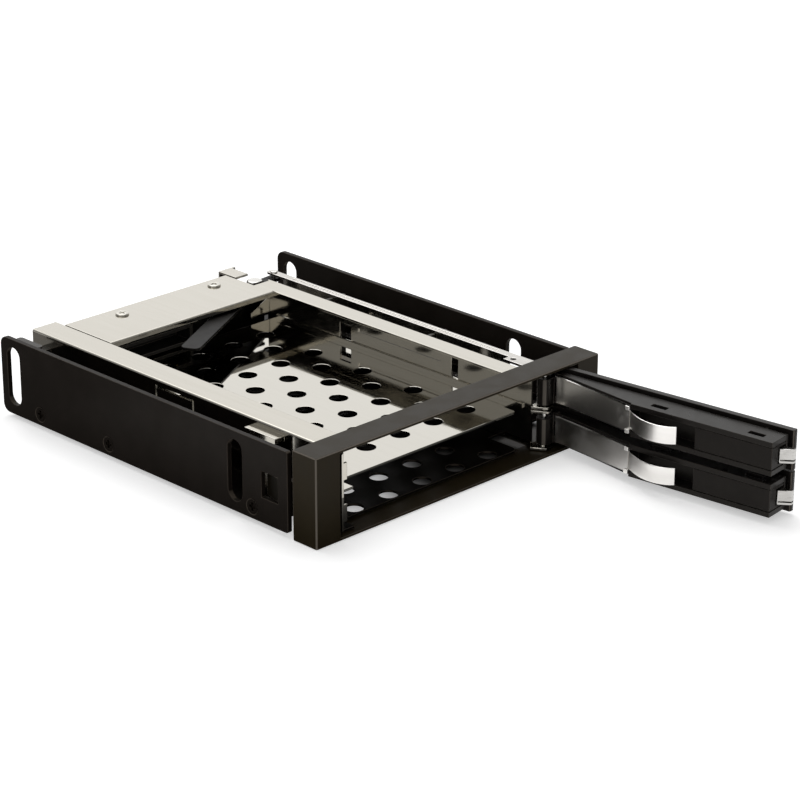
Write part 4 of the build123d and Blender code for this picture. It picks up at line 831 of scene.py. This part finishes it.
@dataclass
class Solids:
    """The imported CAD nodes, dressed with finishes and softened edges."""

    finishes: Finishes
    nodes: dict[str, bpy.types.Object]
    slots: dict[str, Slot]
    edge: float = 0.12 * MM
    edge_steps: int = 2
    edge_angle: float = 40.0
    join_within: float = 0.001 * MM
    flat_angle: float = 0.5
    curve_angle: float = 16.0
    flat_weight: int = 100
    unjoined: frozenset[str] = frozenset({"bulkhead"})

    def join(self, piece: bpy.types.Object) -> None:
        """Join a solid's corners, and its flat faces unless its openings need them apart."""
        weld = piece.modifiers.new("join", "WELD")
        weld.merge_threshold = self.join_within
        if piece.name not in self.unjoined:
            flat = piece.modifiers.new("join flat faces", "DECIMATE")
            flat.decimate_type = "DISSOLVE"
            flat.angle_limit = math.radians(self.flat_angle)

    def soften(self, piece: bpy.types.Object, smoothing: bpy.types.NodeTree) -> None:
        """Round a solid's edges and shade its curved faces as one.

        Args:
            piece: Object of the node.
            smoothing: Modifier tree for the curved faces.
        """
        bevel = piece.modifiers.new("soft edges", "BEVEL")
        bevel.width = self.edge
        bevel.segments = self.edge_steps
        bevel.limit_method = "ANGLE"
        bevel.angle_limit = math.radians(self.edge_angle)
        bevel.use_clamp_overlap = False
        bevel.harden_normals = False
        smooth = piece.modifiers.new("smooth curves", "NODES")
        smooth.node_group = smoothing
        level = piece.modifiers.new("keep flat faces flat", "WEIGHTED_NORMAL")
        level.mode = "FACE_AREA"
        level.weight = self.flat_weight
        level.keep_sharp = True

    def dress_all(self) -> None:
        """Give every node its finish and rounded edges."""
        smoothing = curve_smoothing(math.radians(self.curve_angle))
        for name in sorted(self.nodes):
            piece = self.nodes[name]
            piece.data.materials.clear()
            piece.data.materials.append(self.finishes.of(self.slots[name]))
            self.join(piece)
            self.soften(piece, smoothing)
        LOG.info("solids dressed: %d", len(self.nodes))


@dataclass
class GuideLip:
    """Thin turned up lip of the divider along the right wall, which guides a drive."""

    finishes: Finishes
    thick: float = 0.45 * MM
    height: float = 1.3 * MM
    front: float = 6.0 * MM
    rear: float = 1.0 * MM
    inset: float = 0.02 * MM
    steps: int = 5

    def section(self, edge: float, floor: float) -> list[Point2]:
        """Outline of the lip across its length, with a rounded top.

        Args:
            edge: Wall side of the lip.
            floor: Upper face of the divider.

        Returns:
            Points across and up, in order round the outline.
        """
        radius = self.thick / 2
        centre = (edge - radius, floor + self.height - radius)
        turn = [math.pi * step / self.steps for step in range(self.steps + 1)]
        top = [(centre[0] + radius * math.cos(a), centre[1] + radius * math.sin(a)) for a in turn]
        return [(edge, floor)] + top + [(edge - self.thick, floor)]

    def build(self) -> None:
        """Make the lip and let it ride on the frame."""
        low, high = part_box("divider_plate")
        outline = self.section(high.x - self.inset, high.z)
        mesh = bmesh.new()
        ends = []
        for y in (low.y + self.front, high.y - self.rear):
            ends.append([mesh.verts.new((x, y, z)) for x, z in outline])
        count = len(outline)
        for index in range(count):
            after = (index + 1) % count
            mesh.faces.new((ends[0][index], ends[0][after], ends[1][after], ends[1][index]))
        mesh.faces.new(list(reversed(ends[0])))
        mesh.faces.new(ends[1])
        bmesh.ops.recalc_face_normals(mesh, faces=mesh.faces)
        data = bpy.data.meshes.new("guide_lip")
        mesh.to_mesh(data)
        mesh.free()
        piece = bpy.data.objects.new("guide_lip", data)
        bpy.context.scene.collection.objects.link(piece)
        data.materials.append(self.finishes.of(Slot.SHEET))
        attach(piece, "frame")
        LOG.info("guide lip built")


@dataclass(frozen=True)
class Floor:
    """Pale floor that stays white to the camera, with a painted shadow where the object hides it and round it
    in what metal mirrors.
    """

    half: float = 6.0
    drop: float = 0.05 * MM
    colour: Colour = rgb(0.92, 0.92, 0.92)
    roughness: float = 0.9
    glow: float = 0.42
    shadow_colour: Colour = rgb(0.21, 0.205, 0.20)

    # Footprint of the housing: half width, middle and half length
    shade_half_width: float = 49.0 * MM
    middle: float = 62.5 * MM
    half_length: float = 58.0 * MM
    feather: float = 4.0 * MM

    # Slanted line beyond which the floor under the housing has a painted shadow
    slant_start: float = 12.0 * MM
    slant_slope: float = 0.9
    slant_range: tuple[float, float] = (-22.0 * MM, 4.0 * MM)
    depth_range: tuple[float, float] = (22.0 * MM, 27.0 * MM)

    # Reach of the painted shadow that metal mirrors, round the housing and behind it
    near_range: tuple[float, float] = (12.0 * MM, 30.0 * MM)
    rear_range: tuple[float, float] = (60.0 * MM, 200.0 * MM)
    rear_start: tuple[float, float] = (100.0 * MM, 120.0 * MM)

    def zones(
        self, w: Wiring, mirrored: bpy.types.NodeSocket
    ) -> tuple[bpy.types.NodeSocket, bpy.types.NodeSocket]:
        """Work out where the floor gets its painted shadow.

        Args:
            w: Wiring of the floor's material.
            mirrored: Whether the floor is seen in gloss or glass.

        Returns:
            Mask of the painted shadow under the housing, and of all painted shadow, also the part that metal
            mirrors.
        """
        place = w.node("ShaderNodeTexCoord")
        apart = w.parts(place.outputs["Object"])
        x, y = apart.outputs["X"], apart.outputs["Y"]
        reach_x = w.math("SUBTRACT", w.math("ABSOLUTE", x), self.shade_half_width)
        along = w.math("ABSOLUTE", w.math("SUBTRACT", y, self.middle))
        reach_y = w.math("SUBTRACT", along, self.half_length)
        outside = w.math("MAXIMUM", reach_x, reach_y)
        under = w.ramp(outside, -self.feather, 0.0, 1.0, 0.0)
        lean = w.math("MULTIPLY", w.math("SUBTRACT", y, self.slant_start), self.slant_slope)
        slant = w.ramp(w.math("SUBTRACT", x, lean), *self.slant_range)
        shaded = w.math("MULTIPLY", under, w.math("MAXIMUM", slant, w.ramp(y, *self.depth_range)))
        behind = w.ramp(y, *self.rear_start)
        rear = w.math("MULTIPLY", behind, w.ramp(outside, *self.rear_range, 1.0, 0.0))
        close = w.math("MAXIMUM", rear, w.ramp(outside, *self.near_range, 1.0, 0.0))
        return shaded, w.math("MAXIMUM", shaded, w.math("MULTIPLY", mirrored, close))

    def finish(self) -> bpy.types.Material:
        """Build the floor's material."""
        shader = Shader("floor")
        w = shader.wiring
        shader.set(Base_Color=self.colour, Roughness=self.roughness, Specular_IOR_Level=0.0)
        path = w.node("ShaderNodeLightPath")
        mirrored = w.mirrored(path)
        seen = w.math("MAXIMUM", path.outputs["Is Camera Ray"], mirrored)
        shaded, near = self.zones(w, mirrored)
        shader.set(Emission_Color=WHITE)
        # Painted shadow: no glow under the housing
        lit = w.math("SUBTRACT", 1.0, shaded)
        glow = w.math("MULTIPLY", w.math("MULTIPLY", seen, self.glow), lit)
        w.link(glow, shader.body.inputs["Emission Strength"])
        # Painted shadow: dim floor where the masks say, also in what metal mirrors
        dim = w.node("ShaderNodeBsdfDiffuse")
        dim.inputs["Color"].default_value = self.shadow_colour
        mixed = w.node("ShaderNodeMixShader")
        w.link(near, mixed.inputs["Fac"])
        w.link(shader.body.outputs["BSDF"], mixed.inputs[1])
        w.link(dim.outputs["BSDF"], mixed.inputs[2])
        end = shader.material.node_tree.nodes["Material Output"]
        w.link(mixed.outputs["Shader"], end.inputs["Surface"])
        return shader.material

    def lay(self) -> None:
        """Lay the floor under the object."""
        mesh = bpy.data.meshes.new("floor")
        half = self.half
        corners = [(-half, -half, 0), (half, -half, 0), (half, half, 0), (-half, half, 0)]
        mesh.from_pydata(corners, [], [(0, 1, 2, 3)])
        piece = bpy.data.objects.new("floor", mesh)
        bpy.context.scene.collection.objects.link(piece)
        piece.location.z = -self.drop
        piece.data.materials.append(self.finish())


@dataclass(frozen=True)
class Surround:
    """World that is white to the camera, with a bright side for metal to mirror."""

    plain: float = 0.45
    ahead: Point3 = (0.50, 0.55, 0.67)
    ahead_range: tuple[float, float] = (0.40, 0.78)
    ahead_light: tuple[float, float] = (0.40, 1.25)
    behind: Point3 = (-0.55, -0.75, 0.38)
    behind_range: tuple[float, float] = (0.80, 0.95)
    behind_light: tuple[float, float] = (0.40, 1.0)

    @staticmethod
    def toward(w: Wiring, coord: bpy.types.Node, aim: Point3) -> bpy.types.NodeSocket:
        """Give how closely a direction of the world follows an aim.

        Args:
            w: Wiring of the world.
            coord: Coordinate node of the world.
            aim: Direction to compare with.

        Returns:
            Cosine of the angle between them.
        """
        made = w.node("ShaderNodeVectorMath", operation="DOT_PRODUCT")
        made.inputs[1].default_value = Vector(aim).normalized()
        w.link(coord.outputs["Generated"], made.inputs[0])
        return made.outputs["Value"]

    def build(self) -> None:
        """Make the world."""
        world = bpy.data.worlds.new("studio")
        bpy.context.scene.world = world
        world.use_nodes = True
        w = Wiring(world.node_tree)
        coord = w.node("ShaderNodeTexCoord")
        main = w.ramp(self.toward(w, coord, self.ahead), *self.ahead_range, *self.ahead_light)
        back = w.ramp(self.toward(w, coord, self.behind), *self.behind_range, *self.behind_light)
        path = w.node("ShaderNodeLightPath")
        glossy = w.node("ShaderNodeMix", data_type="FLOAT")
        w.link(w.mirrored(path), glossy.inputs["Factor"])
        glossy.inputs["A"].default_value = self.plain
        w.link(w.math("MAXIMUM", main, back), glossy.inputs["B"])
        seen = w.node("ShaderNodeMix", data_type="FLOAT")
        w.link(path.outputs["Is Camera Ray"], seen.inputs["Factor"])
        w.link(glossy.outputs["Result"], seen.inputs["A"])
        seen.inputs["B"].default_value = 1.0
        ground = world.node_tree.nodes["Background"]
        ground.inputs["Color"].default_value = WHITE
        w.link(seen.outputs["Result"], ground.inputs["Strength"])


@dataclass(frozen=True)
class Lamp:
    """Soft square lamp that faces the object, in metres and watts."""

    name: str
    place: Point3
    size: float
    power: float
    aim: Point3 = (0.0, 0.04, 0.0)

    def hang(self) -> None:
        """Hang the lamp in its place."""
        data = bpy.data.lights.new(self.name, "AREA")
        data.shape = "SQUARE"
        data.size = self.size
        data.energy = self.power
        lamp = bpy.data.objects.new(self.name, data)
        bpy.context.scene.collection.objects.link(lamp)
        lamp.location = self.place
        facing = Vector(self.aim) - Vector(self.place)
        lamp.rotation_euler = facing.to_track_quat("-Z", "Y").to_euler()


@dataclass(frozen=True)
class PhotoView:
    """Camera fitted to the photograph, with angles in degrees and lengths in mm."""

    azimuth: float = -44.67
    elevation: float = 21.82
    roll: float = 0.07
    target: Point3 = (0.0, 60.0, 12.0)
    distance: float = 745.74
    shift_right: float = 26.13
    shift_up: float = -3.77
    focal_pixels: float = 2804.86
    image_pixels: float = 800.0
    film: float = 36.0
    near: float = 0.05
    far: float = 50.0

    def axes(self) -> tuple[Vector, Vector, Vector]:
        """Give the camera's right, up and backward directions."""
        azimuth, elevation, roll = (math.radians(a) for a in (self.azimuth, self.elevation, self.roll))
        level = math.cos(elevation)
        back = Vector((math.sin(azimuth) * level, -math.cos(azimuth) * level, math.sin(elevation)))
        right = Vector((math.cos(azimuth), math.sin(azimuth), 0))
        up = back.cross(right)
        turned_right = right * math.cos(roll) + up * math.sin(roll)
        turned_up = -right * math.sin(roll) + up * math.cos(roll)
        return turned_right, turned_up, back

    def build(self) -> None:
        """Place the camera and make it the scene's own."""
        right, up, back = self.axes()
        place = Vector(self.target) + back * self.distance + right * self.shift_right + up * self.shift_up
        data = bpy.data.cameras.new("camera")
        data.sensor_width = self.film
        data.lens = self.focal_pixels / self.image_pixels * self.film
        data.clip_start = self.near
        data.clip_end = self.far
        camera = bpy.data.objects.new("camera", data)
        bpy.context.scene.collection.objects.link(camera)
        turn = Matrix((right, up, back)).transposed().to_4x4()
        camera.matrix_world = Matrix.Translation(place * MM) @ turn
        bpy.context.scene.camera = camera


@dataclass(frozen=True)
class Studio:
    """Floor, world, lamps and camera."""

    floor: Floor = Floor()
    surround: Surround = Surround()
    view: PhotoView = PhotoView()
    lamps: tuple[Lamp, ...] = (
        Lamp("top_lamp", (0.35, 0.75, 1.5), 1.4, 14.0),
        Lamp("left_lamp", (-1.55, -0.15, 0.8), 0.9, 4.5),
    )

    def build(self) -> None:
        """Set up the whole studio."""
        self.floor.lay()
        self.surround.build()
        for lamp in self.lamps:
            lamp.hang()
        self.view.build()
        bpy.context.scene.view_settings.view_transform = "Standard"
        LOG.info("studio ready")


def main() -> None:
    """Load the frame, build every part of the picture and report it."""
    logging.basicConfig(level=logging.INFO, format="%(message)s")
    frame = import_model()
    slots = {s["node"]: Slot(s["material_slot"]) for s in frame["record"]["subparts"]}
    finishes = Finishes()
    finishes.build()
    solids = Solids(finishes, frame["nodes"], slots)
    solids.dress_all()
    GuideLip(finishes).build()
    Studio().build()
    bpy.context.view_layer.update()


if __name__ == "__main__":
    main()
